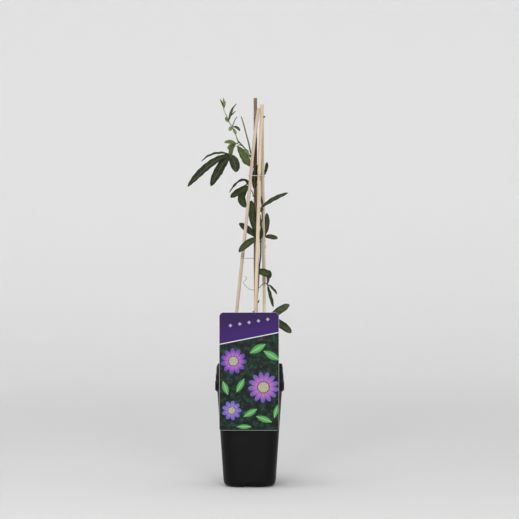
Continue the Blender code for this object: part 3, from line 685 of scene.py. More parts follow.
def makeTie(name, tie):
    v, height, radius = tieValues, tie["height"], tie["radius"]
    circles = [(pointAt(canes[c]["line"], height), canes[c]["radius"] + v["clearance"] + radius)
               for c in tie["canes"]]
    loop = [Vector((x, y, height)) for x, y in hullLoop(circles)]
    shape = newShape()
    rings = []
    for i, point in enumerate(loop):
        out = (loop[(i + 1) % len(loop)] - loop[i - 1]).normalized().cross(Vector((0, 0, 1)))
        rings.append([addPoint(shape, point + (out * cos(a) + Vector((0, 0, sin(a)))) * radius, (0, 0, 0))
                      for a in turns(v["sides"])])
    addSkin(shape, rings + rings[:1], caps=(False, False))
    # the two ends, twisted together where the loop faces the back
    start = max(loop, key=lambda p: p.y + p.x * 0.4)
    way = Vector(tie["tail"]).normalized()
    side = way.orthogonal().normalized()
    up = way.cross(side)
    for phase in (0, pi):
        rows = [start - way * 0.2]
        for k in range(v["twists"]):
            a = phase + k * v["twistTurn"]
            spread = radius * (1.05 + 0.45 * max(0, k + 3 - v["twists"]))   # the tips stand apart
            rows.append(start + way * (radius + k * v["twistPitch"]) + (side * cos(a) + up * sin(a)) * spread)
        addTube(shape, smoothPath(rows, 4), tapered(radius * 0.92, radius * 0.9), 8)
    makePiece(name, shape, [tieFinish(name + "Wire", tie["colour"])], "tie_wire", 60, tie["node"])


for name, tie in ties.items():
    makeTie(name, tie)
print("ties done")

# the soil's topping keeps clear of what stands in it
stakesAtSoil = [(*pointAt(cane["line"], soilValues["top"]).xy, cane["radius"]) for cane in canes.values()]
stakesAtSoil.append((12, -7, 1.7))   # the vine's stem
compostFinish, *toppingFinishes = (soilFinish(*row) for row in soilValues["finishes"])
makeSoil(compostFinish)
makeTopping(*toppingFinishes)
print("soil done")


stemValues = {
    "points": [(13.5, -6, 148), (12, -7, 183), (11.8, -8, 252), (12, -8, 301), (14, -7, 329),
               (15.3, -5, 352), (17.8, -3, 375), (18, -2, 400), (18.6, -2, 423), (16.8, -1.2, 439),
               (11.9, -1, 454), (8.5, -2.2, 474), (7.4, -2.8, 498), (7.7, -2.4, 518), (5.8, -1, 531),
               (-0.4, -1, 538), (-6.1, -3, 547.6), (-19.3, -5, 562)],
    "radii": (1.7, 1.05), "nodeSwell": 0.22, "ridges": 0.05,
    "bud": [(11.9, -8, 297.5), (14, -8.2, 298.6), (15.6, -8.6, 302.6)], "budRadii": (1.5, 0.8),
    "bark": (0.026, 0.020, 0.006), "cork": (0.060, 0.044, 0.014), "green": (0.056, 0.052, 0.015),
    "budScale": (0.045, 0.028, 0.016),
}
leafValues = {
    # rows along a blade and where its points lie across it; a small blade has fewer of both
    "stations": 30, "columns": (-1, -0.93, -0.8, -0.62, -0.44, -0.28, -0.14, -0.05, 0,
                                0.05, 0.14, 0.28, 0.44, 0.62, 0.8, 0.93, 1),
    "smallWidth": 5, "smallStations": 14, "thickness": 0.34, "keel": 0.2, "ribDepth": 0.2,
    "ribReach": 0.55, "wave": 0.45, "waveLength": 13, "ageSpread": 0.08,
    "hubRadius": 1.45, "petioleRadius": 0.85,
    # grown, deep, young and vein colour, roughness, and how clear the veins are
    "upper": ((0.029, 0.038, 0.016), (0.0075, 0.0105, 0.0045), (0.21, 0.28, 0.085),
              (0.075, 0.095, 0.042), 0.55, 0.75),
    "under": ((0.048, 0.056, 0.030), (0.0336, 0.0392, 0.021), (0.20, 0.28, 0.09),
              (0.15, 0.18, 0.09), 0.65, 0.6),
    "petiole": (0.042, 0.046, 0.014), "petiolePale": (0.05, 0.05, 0.022),
    "petioleYoung": (0.21, 0.28, 0.085), "petioleFresh": (0.10, 0.13, 0.035),
    "brown": (0.070, 0.045, 0.022), "olive": (0.075, 0.058, 0.018),
}


def aged(colour, old):
    # a tone below nothing turns to the colour of age
    return mixed(ramped(toneOf(), -0.2, -0.8), colour, old)


def stemFinish():
    v = stemValues
    startFinish("vineStem", 0.62, 0.22)
    fibres = grained((1.2, 1.2, 0.09), 4, 0.65)
    woody = mixed(ramped(fibres, 0.42, 0.66), v["bark"], v["cork"])
    green = mixed(ramped(fibres, 0.4, 0.7, 0, 0.6), v["green"], v["bark"])
    return finished(aged(mixed(toneOf(), woody, green), v["budScale"]), fibres, 0.5, 0.0004)


def leafFinish(name, grown, deep, young, vein, roughness, veinShare):
    startFinish(name, roughness, 0.12)
    grain = split(grainOf())
    across, along, tone, place = absolute(grain[0]), grain[2], toneOf(), placeOf()
    blotches = cloudy(place, 210, 5, 0.7)
    colour = mixed(tone, mixed(ramped(blotches, 0.38, 0.62), grown, deep),
                   mixed(ramped(blotches, 0.35, 0.75, 0, 0.45), young, grown))
    colour = mixed(ramped(across, 0.45, 1, 0, 0.7), colour, mixed(tone, deep, grown))
    colour = aged(colour, leafValues["olive"])
    # side veins leave the midrib at a slant and fade towards the margin
    slant = minus(times(along, 0.26), times(across, 0.75))
    comb = absolute(minus(calc("FRACT", slant), 0.5))
    sideVein = times(ramped(comb, 0.40, 0.5), ramped(across, 1, 0.45, 0, 0.4))
    lines = calc("MAXIMUM", sideVein, ramped(across, 0.11, 0.03))
    net = addNode("TexVoronoi", {"Vector": place, "Scale": 900.0}, feature="DISTANCE_TO_EDGE")[0]
    relief = minus(ramped(net, 0, 0.25, 0, 0.3), times(lines, 0.9))
    return finished(mixed(times(lines, veinShare), colour, vein), relief, 0.55, 0.0005)


def petioleFinish():
    v = leafValues
    startFinish("petiole", 0.55, 0.25)
    fibres = grained((1.6, 1.6, 0.12))
    share = ramped(fibres, 0.4, 0.7)
    colour = mixed(toneOf(), mixed(share, v["petiole"], v["petiolePale"]),
                   mixed(share, v["petioleYoung"], v["petioleFresh"]))
    return finished(aged(colour, v["brown"]), fibres, 0.4, 0.0003)


stemLine = smoothPath(stemValues["points"], 10)
stemLengths = lengthsAlong(stemLine)


def offStem(height, toward):
    # leaves the stem's side at a right angle, then turns towards the point
    i = max(k for k, p in enumerate(stemLine[:-1]) if p.z <= height or k == 0)
    low, high = stemLine[i], stemLine[i + 1]
    share = (height - low.z) / (high.z - low.z)
    centre, along = low.lerp(high, share), (high - low).normalized()
    done = (stemLengths[i] + (high - low).length * share) / stemLengths[-1]
    reach = tapered(*stemValues["radii"])(0, done, 0)
    out = Vector(toward) - centre
    out = (out - along * out.dot(along)).normalized()
    start = centre + out * (reach + 0.6)
    return [centre + out * reach * 0.3, start, start + out * (Vector(toward) - start).length * 0.3]


def makeStem(finish):
    v = stemValues
    plain, bud = tapered(*v["radii"]), tapered(*v["budRadii"])
    heights = sorted(piece["leavesStemAt"] for piece in [*leaves.values(), *tendrils.values()])
    spots = [min(range(len(stemLine)), key=lambda i: abs(stemLine[i].z - h)) for h in heights]
    marks = [stemLengths[i] for i in spots]

    def radiusAt(along, share, a):
        swell = sum(v["nodeSwell"] * exp(-((along - m) / 1.8) ** 2) for m in marks)
        ridge = v["ridges"] * cos(5 * a + along * 0.01)
        uneven = noise.noise(Vector((cos(a), sin(a), along * 0.08))) * 0.05
        return plain(along, share, a) * (0.97 + min(swell, 0.3) + ridge + uneven)

    shape = newShape()
    addTube(shape, smoothPath(v["points"], 22), radiusAt, 20,
            tone=lambda along, share: min(1, max(0, share * 1.6 - 0.35)))
    addTube(shape, smoothPath(v["bud"], 8),
            lambda along, share, a: bud(along, share, a) * (1 - share ** 4) + 0.12, 12, tone=-1)
    makePiece("vineStem", shape, [finish], "vine_bark", 60, "vine_stem")


def skinBlade(shape, top, under):
    # the upper side, the under side, and the edge that joins them
    borders = []
    for rows, finish in ((top, 0), (under, 1)):
        for low, high in zip(rows, rows[1:]):
            for i in range(len(low) - 1):
                corners = (low[i], low[i + 1], high[i + 1], high[i])
                addFace(shape, reversed(corners) if finish else corners, finish)
        borders.append([row[0] for row in rows] + rows[-1][1:] + [row[-1] for row in reversed(rows[:-1])]
                       + list(reversed(rows[0][1:-1])))
    addSkin(shape, borders, 1, (False, False))


def addBlade(shape, base, mid, tip, width, face, roll, tone, toneTip=None):
    v = leafValues
    base, mid, tip, face = Vector(base), Vector(mid), Vector(tip), Vector(face)
    control = mid * 2 - (base + tip) / 2
    count, columns = v["stations"], v["columns"]
    if width <= v["smallWidth"]:
        count, columns = v["smallStations"], columns[::2]
    phase = random.uniform(0, 6.28)
    chance = random.uniform(-1, 1)
    top, under = [], []
    along, last = random.uniform(0, 40), base
    for station in range(count):
        t = 1 - (1 - station / (count - 1)) ** 1.5
        point = base * (1 - t) ** 2 + control * (2 * t * (1 - t)) + tip * t**2
        along += (point - last).length
        last = point
        way = ((control - base) * (1 - t) + (tip - control) * t).normalized()
        up = (face - way * face.dot(way)).normalized()
        up = Matrix.Rotation(radians(roll), 3, way) @ up
        side = way.cross(up)
        swell = (1 - abs(2 * t**1.2 - 1) ** 2.3) ** 0.6
        half = max(width / 2 * max(swell, 0.24 * (1 - t)), 0.4)
        shown = tone + v["ageSpread"] * chance + (0 if toneTip is None else (toneTip - tone) * t)
        top.append([])
        under.append([])
        for s in columns:
            x = s * half
            lift = v["keel"] * half * (sqrt(s * s + 0.02) - 0.14)
            lift += (v["wave"] * min(1, half / 5) * abs(s) ** 3
                     * sin(2 * pi * along / v["waveLength"] + phase * (1 if s > 0 else -1)))
            rib = v["ribDepth"] * exp(-(x / v["ribReach"]) ** 2) * (1 - 0.7 * t)
            thick = v["thickness"] * (1 - 0.55 * abs(s) ** 4) / 2
            for rows, rise in ((top, lift + thick - rib), (under, lift - thick - 2.2 * rib)):
                rows[-1].append(addPoint(shape, point + side * x + up * rise, (s, t, along),
                                         min(1, max(0, shown))))
    skinBlade(shape, top, under)


def addHub(shape, centre, tone):
    # the small knob where the lobes and the petiole meet
    rings = []
    for a in (pi * k / 8 for k in range(1, 8)):
        rings.append([addPoint(shape, centre + Vector((sin(a) * cos(b), sin(a) * sin(b), cos(a)))
                               * leafValues["hubRadius"], (cos(b), sin(b), a * 3), tone) for b in turns(14)])
    addSkin(shape, rings, 2)


def makeLeaf(name, leaf):
    shape = newShape()
    hub, tone = Vector(leaf["hub"]), leaf.get("age", 0)
    petioleTone = leaf.get("petioleAge", tone)
    addHub(shape, hub, petioleTone)
    for mid, tip, width, roll in leaf["lobes"]:
        addBlade(shape, hub, hub + Vector(mid), hub + Vector(tip), width, leaf["face"], roll,
                 leaf.get("baseAge", tone), tone)
    for base, mid, tip, width, roll, age in leaf.get("stipules", []):
        addBlade(shape, base, mid, tip, width, leaf["face"], roll, age)
    way = [*leaf.get("petiole", []), leaf["hub"]]
    way = [*offStem(leaf["leavesStemAt"], way[0]), *way]

    def radiusAt(along, share, a):
        ends = exp(-share * 14) * 0.35 + exp(-(1 - share) * 14) * 0.3
        return leafValues["petioleRadius"] * (0.95 - 0.1 * share + ends)

    addTube(shape, smoothPath(way, 8), radiusAt, 12, 2, petioleTone)
    makePiece(name, shape, [leafUpper, leafUnder, petioleSkin], "leaf_green", 75, leaf["node"])


# how high a petiole leaves the stem, its way, the hub, which way the upper side faces, and for
# each lobe its middle and tip from the hub, width and roll; a stipule has its base, middle, tip,
# width, roll and age; age 0 is grown, 1 is fresh, and below 0 it browns
leaves = {
    "leafCrown": {
        "node": "leaf_crown", "age": -0.1, "baseAge": 0.05, "petioleAge": 0, "leavesStemAt": 560.5,
        "petiole": [(-26.6, -10, 556), (-30, -11.6, 549.6)], "hub": (-31.8, -12, 539.4),
        "face": (-0.2, -0.8, 0.55),
        "lobes": [
            ((-25.9, 6, 1.1), (-47.7, 14, -10.8), 12, 33), ((-33.4, -5, -17.4), (-68.8, -10, -53), 14.5, 0),
            ((-14.7, -8, -21.2), (-31, -14, -52.4), 16.5, 0),
            ((7, -22, -14.4), (10.5, -36, -30.9), 15.5, -10), ((-7, 17, -12), (-15.6, 34, -32), 13, 20),
        ],
        "stipules": [
            ((-22, -8.3, 557.4), (-31, -12.5, 559.8), (-41.4, -14, 558.8), 6.8, -12, 0.6),
            ((-23, -8.6, 557.6), (-28.4, -7.5, 553.6), (-36.4, -6.5, 549.2), 9.5, -20, 0.9),
            ((-26, -10, 556), (-29.6, -12.6, 549), (-31.6, -13.4, 533.5), 8, 0, 0.28),
        ],
    },
    "leafYoung": {
        "node": "leaf_young", "age": 0.5, "petioleAge": 0.6, "leavesStemAt": 556,
        "petiole": [(-17.5, -9.5, 555.5)], "hub": (-19.8, -12.4, 552.6), "face": (-0.35, -0.85, 0.35),
        "lobes": [((10.4, 7, -14), (20, 14, -31.7), 12.5, 0), ((7, 14, -14), (12, 27, -28), 10, 25)],
    },
    "leafAxil": {
        "node": "leaf_axil", "age": 0.8, "leavesStemAt": 541, "hub": (-1.5, -8.6, 540.6),
        "face": (-0.1, -0.9, 0.3),
        "lobes": [((-3.6, -2.6, 3.7), (-8, -4.6, 7), 6.2, 0)],
    },
    "leafMidLeft": {
        "node": "leaf_mid_left", "age": 0.05, "leavesStemAt": 472,
        "petiole": [(5, -0.8, 477), (1.6, 1, 483)], "hub": (0.8, 1.8, 488.5), "face": (-0.3, -0.85, 0.4),
        "lobes": [
            ((-14.3, -1, 9), (-34, -4, -10.8), 10.5, 38), ((-16, -4.6, -9), (-31.2, -17, -20), 14.6, 0),
            ((-13.5, -1, -17), (-6.9, 1, -34.8), 13.6, 0), ((-6, 20, 3), (-12, 38, -8), 12, 30),
        ],
    },
    "leafRightLong": {
        "node": "leaf_right_long", "age": 0.05, "leavesStemAt": 431, "petiole": [(20.6, -5.4, 438)],
        "hub": (19.8, -4.8, 453), "face": (0.1, -0.8, 0.6),
        "lobes": [
            ((17.1, -6, 12), (42.9, -10, 23.6), 9.4, -8), ((-0.4, 0.5, 9), (-0.8, 1, 20), 6.5, 54),
            ((-0.8, -2, -2.6), (-1.8, -3.6, -7.6), 7, 0),
        ],
    },
    "leafCentre": {
        "node": "leaf_centre", "age": 0.08, "leavesStemAt": 397, "hub": (13.4, -4.6, 403),
        "face": (0, -0.95, 0.3),
        "lobes": [
            ((-15.6, 5.8, 13.5), (-30.8, 11, 24.4), 11, 0), ((-15.5, -5, -8), (-31.1, -11, -23), 11.5, 0),
            ((-8.6, 4.9, 34), (-10.4, 4.6, 62), 12.4, 0), ((0.6, 14, 6), (1.5, 34, 4), 13, 88),
        ],
        "stipules": [((13.8, -4.9, 403), (18.4, -6.6, 406.5), (18.8, -6, 422.5), 6.2, 0, -0.9)],
    },
    "leafBackRight": {
        "node": "leaf_back_right", "leavesStemAt": 440, "petiole": [(15.6, 9, 436), (17, 17.5, 426)],
        "hub": (23.6, 20, 406), "face": (0.35, 0.7, 0.6),
        "lobes": [
            ((11.4, -1, -0.8), (22.5, -4, -3), 9, -10), ((3.8, -1, 19), (4.2, -2, 38.8), 10, 0),
            ((-2, 18, 5), (-4, 34, 3), 12, 0), ((0, 9, -16), (-1, 16, -34), 10, 86),
        ],
    },
    "leafTopRight": {
        "node": "leaf_top_right", "leavesStemAt": 491,
        "petiole": [(14.2, -0.6, 492.5), (15, 5, 494), (15.4, 11, 497), (18, 14.6, 502), (22, 15, 506.5)],
        "hub": (25.5, 14, 509.8), "face": (0.3, -0.9, 0.3),
        "lobes": [
            ((1.6, 0.5, 9.4), (3, 0.5, 18.8), 5.8, 0), ((-7.5, 14, 0.6), (-15, 28, -6), 9.6, 0),
            ((-11, 10, 9.5), (-22, 20, 12), 9.6, 0),
        ],
    },
    "leafInner": {
        "node": "leaf_inner", "age": -0.65, "leavesStemAt": 526, "hub": (10.2, -0.4, 524),
        "face": (0, -1, 0.1),
        "lobes": [((-1.8, 1, -20), (-2.7, 1.1, -41), 8.8, 0)],
    },
    "leafStrap": {
        "node": "leaf_strap", "age": 0.08, "leavesStemAt": 346, "hub": (10.6, -8.4, 351),
        "face": (0, -0.98, 0.2),
        "lobes": [((12.6, -4, -4.2), (22.4, 2, -7.8), 12.2, 0), ((1.2, 1.5, 14), (2, 2, 27), 6, 0)],
        "stipules": [((30.6, -7.8, 350.8), (33.3, -7.6, 345), (32.7, -6.8, 337.4), 5.2, 0, -0.7)],
    },
    "leafDrop": {
        "node": "leaf_drop", "age": 0.06, "petioleAge": -1, "leavesStemAt": 347,
        "petiole": [(22, 2.2, 346), (26.8, 3, 342.5), (28.6, 2, 335)], "hub": (29, 0.4, 327),
        "face": (0.3, -0.8, 0.5),
        "lobes": [
            ((8, -3, -6.2), (15, -6, -16), 8, -28), ((4.2, -4, -18), (9.6, -8, -37), 8, -22),
            ((1.5, 10, 12), (1.5, 19, 20), 5.5, 0),
        ],
    },
    "leafLow": {
        "node": "leaf_low", "age": 0.12, "leavesStemAt": 261,
        "petiole": [(18.6, -16.6, 267), (26, -22, 272)], "hub": (31.6, -24, 274), "face": (0.1, -0.85, 0.5),
        "lobes": [
            ((16.4, -3, 10.6), (33, -4, 21), 12.6, 0), ((19.5, -4, -12), (36, -6, -25), 13.8, 0),
            ((0.5, -8, -21), (-4, -10, -43), 14.5, 0), ((-14, -9, -2), (-26.6, -14, 10.8), 7, 0),
        ],
    },
    "leafHidden": {
        "node": "leaf_hidden", "leavesStemAt": 216, "petiole": [(4, -3, 221), (-4, 5, 226)],
        "hub": (-9, 14, 228), "face": (-0.3, 0.55, 0.75),
        "lobes": [
            ((-11, 9, 7), (-26, 18, 5), 12.5, 0), ((-3, 16, 8), (-7, 33, 3), 14, 0),
            ((10, 13, 7), (20, 26, 2), 12.5, 0),
        ],
    },
}


shoot = {
    "points": [(-19.8, -5.1, 562.8), (-23.5, -6, 573.8), (-28.6, -7, 584.3), (-34.3, -8, 593.5),
               (-37.5, -9, 602), (-42.2, -10, 612.5), (-42.2, -10.5, 620)],
    "radii": (0.9, 0.55), "nodes": (23.5, 34.5, 45), "nodeSwell": 0.25, "face": (-0.2, -0.9, 0.3),
    "twig": [(-28.4, -7, 586), (-26.2, -8, 591), (-23.8, -8.5, 597), (-20.2, -9, 601.5)],
    "twigRadii": (0.8, 0.55),
    # base, middle, tip, width, roll and age of each small blade
    "blades": [
        ((-27.6, -6.8, 583.4), (-30.4, -9.5, 582.2), (-33, -11, 578), 6.8, 0, 0.85),
        ((-27.4, -6.8, 582.6), (-24.4, -9, 577.4), (-22.4, -9.5, 572.6), 4.6, 0, 0.75),
        ((-28.2, -7, 585), (-20.6, -10, 583.4), (-16.1, -11, 577.6), 4.4, 0, 0.15),
        ((-33.6, -8, 592.8), (-37, -10, 596.5), (-39, -11, 600.6), 5.6, 0, 0.6),
        ((-34.4, -8, 593.6), (-31.3, -9.5, 606), (-26.4, -11, 618), 4.2, 20, 0.25),
        ((-29.4, -10.2, 612), (-25.6, -10.8, 617.6), (-21.6, -11, 622.6), 1.8, 20, 0.2),
        ((-32.4, -9, 601), (-28, -8, 606), (-22.9, -7, 611), 2, 20, 0.3),
        ((-42.2, -10.2, 614), (-44.2, -11.5, 621.5), (-48.5, -12.5, 629.6), 2.8, 0, 0.35),
        ((-42.2, -10.2, 614), (-42.1, -9.5, 623), (-43.1, -9, 632.2), 3.2, 0, 1),
        ((-42.2, -10.2, 614), (-40.8, -9, 621), (-39.8, -8, 627), 2.2, 20, 0.8),
    ],
}


def makeShoot():
    shape = newShape()
    plain = tapered(*shoot["radii"])

    def radiusAt(along, share, a):
        swell = sum(exp(-((along - m) / 1.3) ** 2) for m in shoot["nodes"])
        return plain(along, share, a) * (1 + shoot["nodeSwell"] * swell)

    addTube(shape, smoothPath([stemValues["points"][-1], *shoot["points"]], 10), radiusAt, 12, 2,
            lambda along, share: 0.55 + 0.4 * share)
    for base, mid, tip, width, roll, age in shoot["blades"]:
        addBlade(shape, base, mid, tip, width, shoot["face"], roll, age)
    addTube(shape, smoothPath(shoot["twig"], 8), tapered(*shoot["twigRadii"]), 10, 2, -0.1)
    makePiece("youngShoot", shape, [leafUpper, leafUnder, petioleSkin], "young_green", 75, "young_shoot")


tendrils = {
    "tendrilStraight": {
        "node": "tendril_straight", "leavesStemAt": 537.5, "radii": (1.35, 0.95), "tone": 0.3,
        "points": [(0.8, -4, 546), (-1.4, -4.6, 557), (-5, -5.2, 570.5), (-9.6, -6, 588), (-14, -7, 602)],
    },
    "tendrilCurled": {
        "node": "tendril_curled", "leavesStemAt": 317, "radii": (0.5, 0.35), "tone": 0.55,
        "points": [(5, -10.5, 318.4), (0.6, -11, 319), (-4.2, -10.8, 322.4), (-8.4, -10, 327),
                   (-10, -9, 331.4), (-7.6, -8, 333.6), (-5.4, -9, 336.4), (-6, -11, 339.4),
                   (-8, -10.2, 340)],
    },
    "tendrilTwig": {
        "node": "tendril_twig", "leavesStemAt": 322, "radii": (0.6, 0.45), "tone": 0,
        "points": [(18, -3, 324.6), (21.7, 4, 327.5), (26, 12, 329.5), (27.8, 17.5, 328.4),
                   (25.4, 22.8, 326.6), (20.6, 22.6, 325)],
    },
}


def makeTendril(name, tendril):
    plain = tapered(*tendril["radii"])
    way = [*offStem(tendril["leavesStemAt"], tendril["points"][0]), *tendril["points"]]
    shape = newShape()
    addTube(shape, smoothPath(way, 12),
            lambda along, share, a: plain(along, share, a) * (1 - 0.4 * share**30), 12, tone=tendril["tone"])
    makePiece(name, shape, [petioleSkin], "young_green", 60, tendril["node"])


leafUpper = leafFinish("leafUpper", *leafValues["upper"])
leafUnder = leafFinish("leafUnder", *leafValues["under"])
petioleSkin = petioleFinish()
makeStem(stemFinish())
for name, leaf in leaves.items():
    makeLeaf(name, leaf)
print("stem and leaves done")
makeShoot()
for name, tendril in tendrils.items():
    makeTendril(name, tendril)
print("shoot and tendrils done")


labelValues = {
    "width": 95.8, "top": 283.2, "bottom": 94, "centreX": -0.7, "thickness": 0.7, "topRadius": 7.5,
    "footRadius": 4, "backY": -56.7, "tilt": 0.8, "tiltFrom": 157, "bevel": 0.12, "cornerSteps": 14,
    "border": 0.3, "white": (0.60, 0.60, 0.58), "pale": (0.70, 0.70, 0.68), "line": (0.60, 0.61, 0.60),
    "violet": (0.0346, 0.00864, 0.108), "violetDeep": (0.0202, 0.00576, 0.0612),
    "shade": (0.00288, 0.00576, 0.00504), "foliage": (0.0115, 0.036, 0.023),
    "foliagePale": (0.0576, 0.137, 0.0936), "sprig": (0.0504, 0.245, 0.0504),
    "sprigPale": (0.115, 0.36, 0.13), "sprigRib": (0.5, 0.66, 0.4),
    "stripe": (0.62, 0.5, 0.8), "eyeRim": (0.06, 0.01, 0.10),
    "cream": (0.475, 0.475, 0.331), "creamDeep": (0.144, 0.173, 0.072),
    # centre x, z, reach, petals, turn, inner and outer colours
    "blossoms": [
        (-25, 205, 21, 11, 0.3, (0.30, 0.05, 0.36), (0.09, 0.05, 0.30)),
        (23, 163, 25, 13, 1.1, (0.34, 0.06, 0.30), (0.12, 0.08, 0.34)),
        (-28, 126, 16, 9, 0, (0.20, 0.08, 0.40), (0.10, 0.10, 0.36)),
    ],
    # centre x, z, half length, half width, turn in degrees
    "sprigs": [(14, 225, 15, 6, 30), (36, 214, 15, 6, -30), (-14, 166, 13, 5, 60), (-38, 162, 12, 5, 110),
               (2, 122, 13, 5, 30), (24, 112, 14, 5, -20), (43, 124, 11, 4, 75), (-8, 100, 12, 4, 0)],
    "dots": [(-30, 262), (-15, 264.5), (0, 267), (15, 269.5), (30, 272)], "dotReach": 2.6,
    "dot": (0.42, 0.38, 0.56), "bandFoot": 242, "bandSlope": 0.2,
}


def cardBack(z):
    v = labelValues
    return v["backY"] + (z - v["tiltFrom"]) * tan(radians(v["tilt"]))


def withSprig(colour, x, z, cx, cz, long, wide, degrees):
    v = labelValues
    c, s = cos(radians(degrees)), sin(radians(degrees))
    dx, dz = minus(x, cx), minus(z, cz)
    off = absolute(minus(times(dz, c), times(dx, s)))
    share = calc("DIVIDE", plus(times(dx, c), times(dz, s)), long)
    depth = minus(times(minus(1, times(share, share)), wide), off)
    inside = mixed(ramped(depth, 0, wide * 0.9), v["sprig"], v["sprigPale"])
    inside = mixed(ramped(off, 0.5, 0.15, 0, 0.6), inside, v["sprigRib"])
    return mixed(ramped(depth, 0, 0.35, 0, 0.9), colour, inside)


def withBlossom(colour, x, z, cx, cz, reach, petals, turn, inner, outer):
    v = labelValues
    dx, dz = minus(x, cx), minus(z, cz)
    angle, far = calc("ARCTAN2", dz, dx), distance(dx, dz)
    wave = absolute(calc("COSINE", calc("MULTIPLY_ADD", angle, petals / 2, turn)))
    depth = minus(calc("MULTIPLY_ADD", calc("POWER", wave, 0.6), reach * 0.42, reach * 0.58), far)
    share = calc("DIVIDE", far, reach)
    petal = mixed(ramped(share, 0.3, 0.95), inner, outer)
    stripes = ramped(absolute(calc("SINE", times(angle, petals * 3.5))), 0.75, 1)
    petal = mixed(times(stripes, ramped(share, 0.9, 0.35, 0, 0.5)), petal, v["stripe"])
    petal = mixed(ramped(wave, 0.35, 0, 0, 0.6), petal, [c * 0.25 for c in outer])
    disc = mixed(ramped(grained((0.9, 0.9, 1), 2), 0.4, 0.6), v["cream"], v["creamDeep"])
    petal = mixed(ramped(share, 0.36, 0.33), petal, disc)
    petal = mixed(times(ramped(share, 0.42, 0.37), ramped(share, 0.33, 0.36)), petal, v["eyeRim"])
    return mixed(ramped(depth, 0, 0.4), colour, petal)


def withBand(colour, x, z):
    # the slanted band along the top, its dots and the pale line under it
    v = labelValues
    above = minus(z, calc("MULTIPLY_ADD", x, v["bandSlope"], v["bandFoot"]))
    band = mixed(ramped(above, 0, 40), v["violet"], v["violetDeep"])
    for cx, cz in v["dots"]:
        far = plus(*(calc("POWER", absolute(minus(a, b)), 0.8) for a, b in ((x, cx), (z, cz))))
        band = mixed(ramped(far, v["dotReach"] + 0.2, v["dotReach"] - 0.2, 0, 0.8), band, v["dot"])
    colour = mixed(ramped(above, -0.2, 0.2), colour, band)
    return mixed(ramped(absolute(plus(above, 0.6)), 0.85, 0.55), colour, v["line"])


def printFinish():
    v = labelValues
    startFinish("labelPrint", 0.42, 0.13)
    x, z = split(grainOf())[:2]
    leafy, fine = grained((0.11, 0.11, 1), 4, 0.65), grained((0.42, 0.42, 1), 4, 0.7)
    colour = mixed(ramped(leafy, 0.42, 0.68), v["shade"], v["foliage"])
    share = times(ramped(fine, 0.52, 0.7), ramped(leafy, 0.4, 0.7, 0, 0.8))
    colour = mixed(share, colour, v["foliagePale"])
    for sprig in v["sprigs"]:
        colour = withSprig(colour, x, z, *sprig)
    for blossom in v["blossoms"]:
        colour = withBlossom(colour, x, z, *blossom)
    colour = withBand(colour, x, z)
    margin = minus(v["width"] / 2, absolute(x))
    for other in (minus(v["top"], z), minus(z, v["bottom"])):
        margin = calc("MINIMUM", margin, other)
    colour = mixed(ramped(margin, v["border"] + 0.1, v["border"] - 0.1), colour, v["white"])
    return finished(colour, cloudy(placeOf(), 60, 2), 0.08, 0.001)


def cardFinish():
    v = labelValues
    startFinish("labelCard", 0.45, 0.4)
    fibres = cloudy(placeOf(), 500, 4)
    return finished(mixed(ramped(fibres, 0.35, 0.7), v["white"], v["pale"]), fibres, 0.15, 0.0003)


def makeLabel():
    v = labelValues
    half, bevel, back = v["width"] / 2, v["bevel"], -v["thickness"]
    shape = newShape()
    rings = []
    for depth, inset in ((0, bevel), (-bevel, 0), (bevel + back, 0), (back, bevel)):
        ring = []
        corners = [(half, v["top"], v["topRadius"]), (-half, v["top"], v["topRadius"]),
                   (-half, v["bottom"], v["footRadius"]), (half, v["bottom"], v["footRadius"])]
        for quarter, (x, z, radius) in enumerate(corners):
            cx = x - copysign(radius, x)
            cz = z + (radius if z == v["bottom"] else -radius)
            for step in range(v["cornerSteps"] + 1):
                a = pi / 2 * (quarter + step / v["cornerSteps"])
                px, pz = cx + (radius - inset) * cos(a), cz + (radius - inset) * sin(a)
                ring.append(addPoint(shape, (v["centreX"] + px, cardBack(pz) + depth, pz), (px, pz, 0)))
        rings.append(ring)
    addSkin(shape, rings, 1, (True, False))
    addFace(shape, rings[-1])
    makePiece("plantLabel", shape, [printFinish(), cardFinish()], "label_print", 30, "label_card")


clipValues = {"width": 18, "thickness": 0.8, "top": 236, "foot": 166, "insideY": -51.3, "gap": 0.35,
              "endRadius": 2.2, "bevel": 0.25, "colour": (0.62, 0.62, 0.60), "cloud": (0.50, 0.50, 0.485)}


def clipFinish():
    v = clipValues
    startFinish("clipPlastic", 0.38, 0.45)
    colour = mixed(ramped(cloudy(placeOf(), 70, 4), 0.35, 0.75), v["colour"], v["cloud"])
    return finished(colour, cloudy(placeOf(), 1600, 2), 0.15, 0.0002)


def makeClip():
    v = clipValues
    half, rounding = v["thickness"] / 2, v["endRadius"]
    # down behind the label, over the rim and down the inside of the pot
    line = [*((cardBack(z) + v["gap"] + half, z) for z in (v["top"], 215, 200)), (-55, 197.4),
            (-54.1, 196.3), (-52.6, 195.95), (-51.7, 195.5), (v["insideY"], 194.2), (v["insideY"], v["foot"])]
    path = smoothPath([(0, y, z) for y, z in line], 6)
    lengths = lengthsAlong(path)
    shape = newShape()
    rings = []
    for i, (centre, along) in enumerate(zip(path, lengths)):
        across = wayAt(path, i).cross(Vector((1, 0, 0)))
        fromEnd = min(along, lengths[-1] - along)
        narrow = rounding * (1 - sqrt(max(0, 1 - max(0, 1 - fromEnd / rounding) ** 2)))
        wide = v["width"] / 2 - narrow
        flat = wide - v["bevel"]
        section = [(-wide, -half * 0.5), (-flat, -half), (flat, -half), (wide, -half * 0.5),
                   (wide, half * 0.5), (flat, half), (-flat, half), (-wide, half * 0.5)]
        rings.append([addPoint(shape, centre + Vector((x, 0, 0)) + across * d, (x, d, along))
                      for x, d in section])
    addSkin(shape, rings)
    makePiece("labelClip", shape, [clipFinish()], "clip_plastic", 35, "label_clip")


makeLabel()
makeClip()
print("label done")


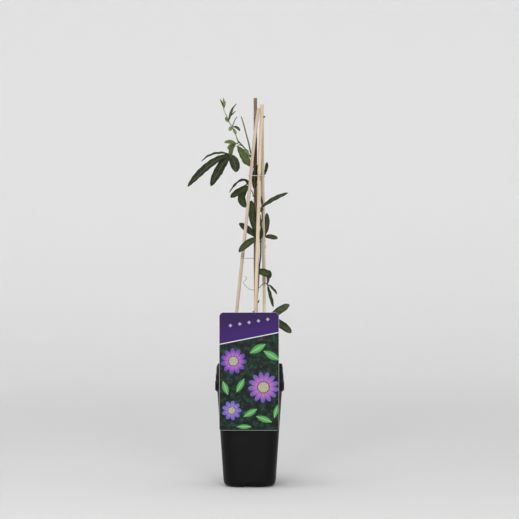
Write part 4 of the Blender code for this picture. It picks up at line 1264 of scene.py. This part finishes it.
studioValues = {   # metres: a pale round backdrop, soft light and the camera
    "floorRadius": 1.5, "curve": 2.4, "wallTop": 4.4, "sides": 128, "curveSteps": 32, "drop": 0.0004,
    "floorPaper": 0.635, "wallPaper": 0.9, "world": 0.71, "eye": (0.016, -2.6, 0.368), "lens": 109.97,
    # name, place, aim, size, watts, tint
    "lights": [
        ("leftLight", (-0.75, -2.5, 0.85), (0, 0, 0.3), 0.6, 19, (1, 0.995, 0.98)),
        ("rightLight", (0.75, -2.5, 0.85), (0, 0, 0.3), 0.6, 18, (1, 0.998, 0.99)),
        ("topLight", (-0.4, -0.6, 2.7), (0, 0, 0.2), 1.8, 24, (1, 1, 1)),
    ],
}


def makeBackdrop():
    v = studioValues
    rows = [(radius, 0) for radius in (0.02, 0.4, 1, v["floorRadius"])]
    for a in (pi / 2 * k / v["curveSteps"] for k in range(1, v["curveSteps"] + 1)):
        rows.append((v["floorRadius"] + v["curve"] * sin(a), v["curve"] * (1 - cos(a))))
    rows.append((v["floorRadius"] + v["curve"], v["wallTop"]))
    startFinish("backdropPaper", 0.9, 0.1)
    # a little paler up the wall than on the floor
    away = distance(*split(placeOf())[:2])
    plug(mixed(ramped(away, 0.3, 3.6), (v["floorPaper"],) * 3, (v["wallPaper"],) * 3), shader["Base Color"])
    shape = newShape()
    addLoft(shape, [[Vector((radius * cos(a), radius * sin(a), z - v["drop"])) / mm
                     for a in turns(v["sides"])] for radius, z in rows], caps=(True, False))
    placed("backdrop", meshOf("backdrop", shape, [material]))


def makeLights():
    for name, place, aim, size, watts, tint in studioValues["lights"]:
        data = bpy.data.lights.new(name, "AREA")
        data.shape, data.size, data.energy, data.color = "DISK", size, watts, tint
        light = placed(name, data)
        light.location = place
        light.rotation_euler = (Vector(aim) - Vector(place)).to_track_quat("-Z", "Y").to_euler()
    world = bpy.data.worlds.new("studio")
    world.use_nodes = True
    colour, strength = world.node_tree.nodes["Background"].inputs[:2]
    colour.default_value, strength.default_value = (1, 1, 1, 1), studioValues["world"]
    bpy.context.scene.world = world


def makeCamera():
    data = bpy.data.cameras.new("camera")
    data.sensor_width, data.lens, data.clip_end = 36, studioValues["lens"], 50
    camera = placed("camera", data)
    camera.location = studioValues["eye"]
    camera.rotation_euler = (pi / 2, 0, 0)
    bpy.context.scene.camera = camera


makeBackdrop()
makeLights()
makeCamera()
bpy.context.scene.view_settings.view_transform = "Standard"
print("studio done")
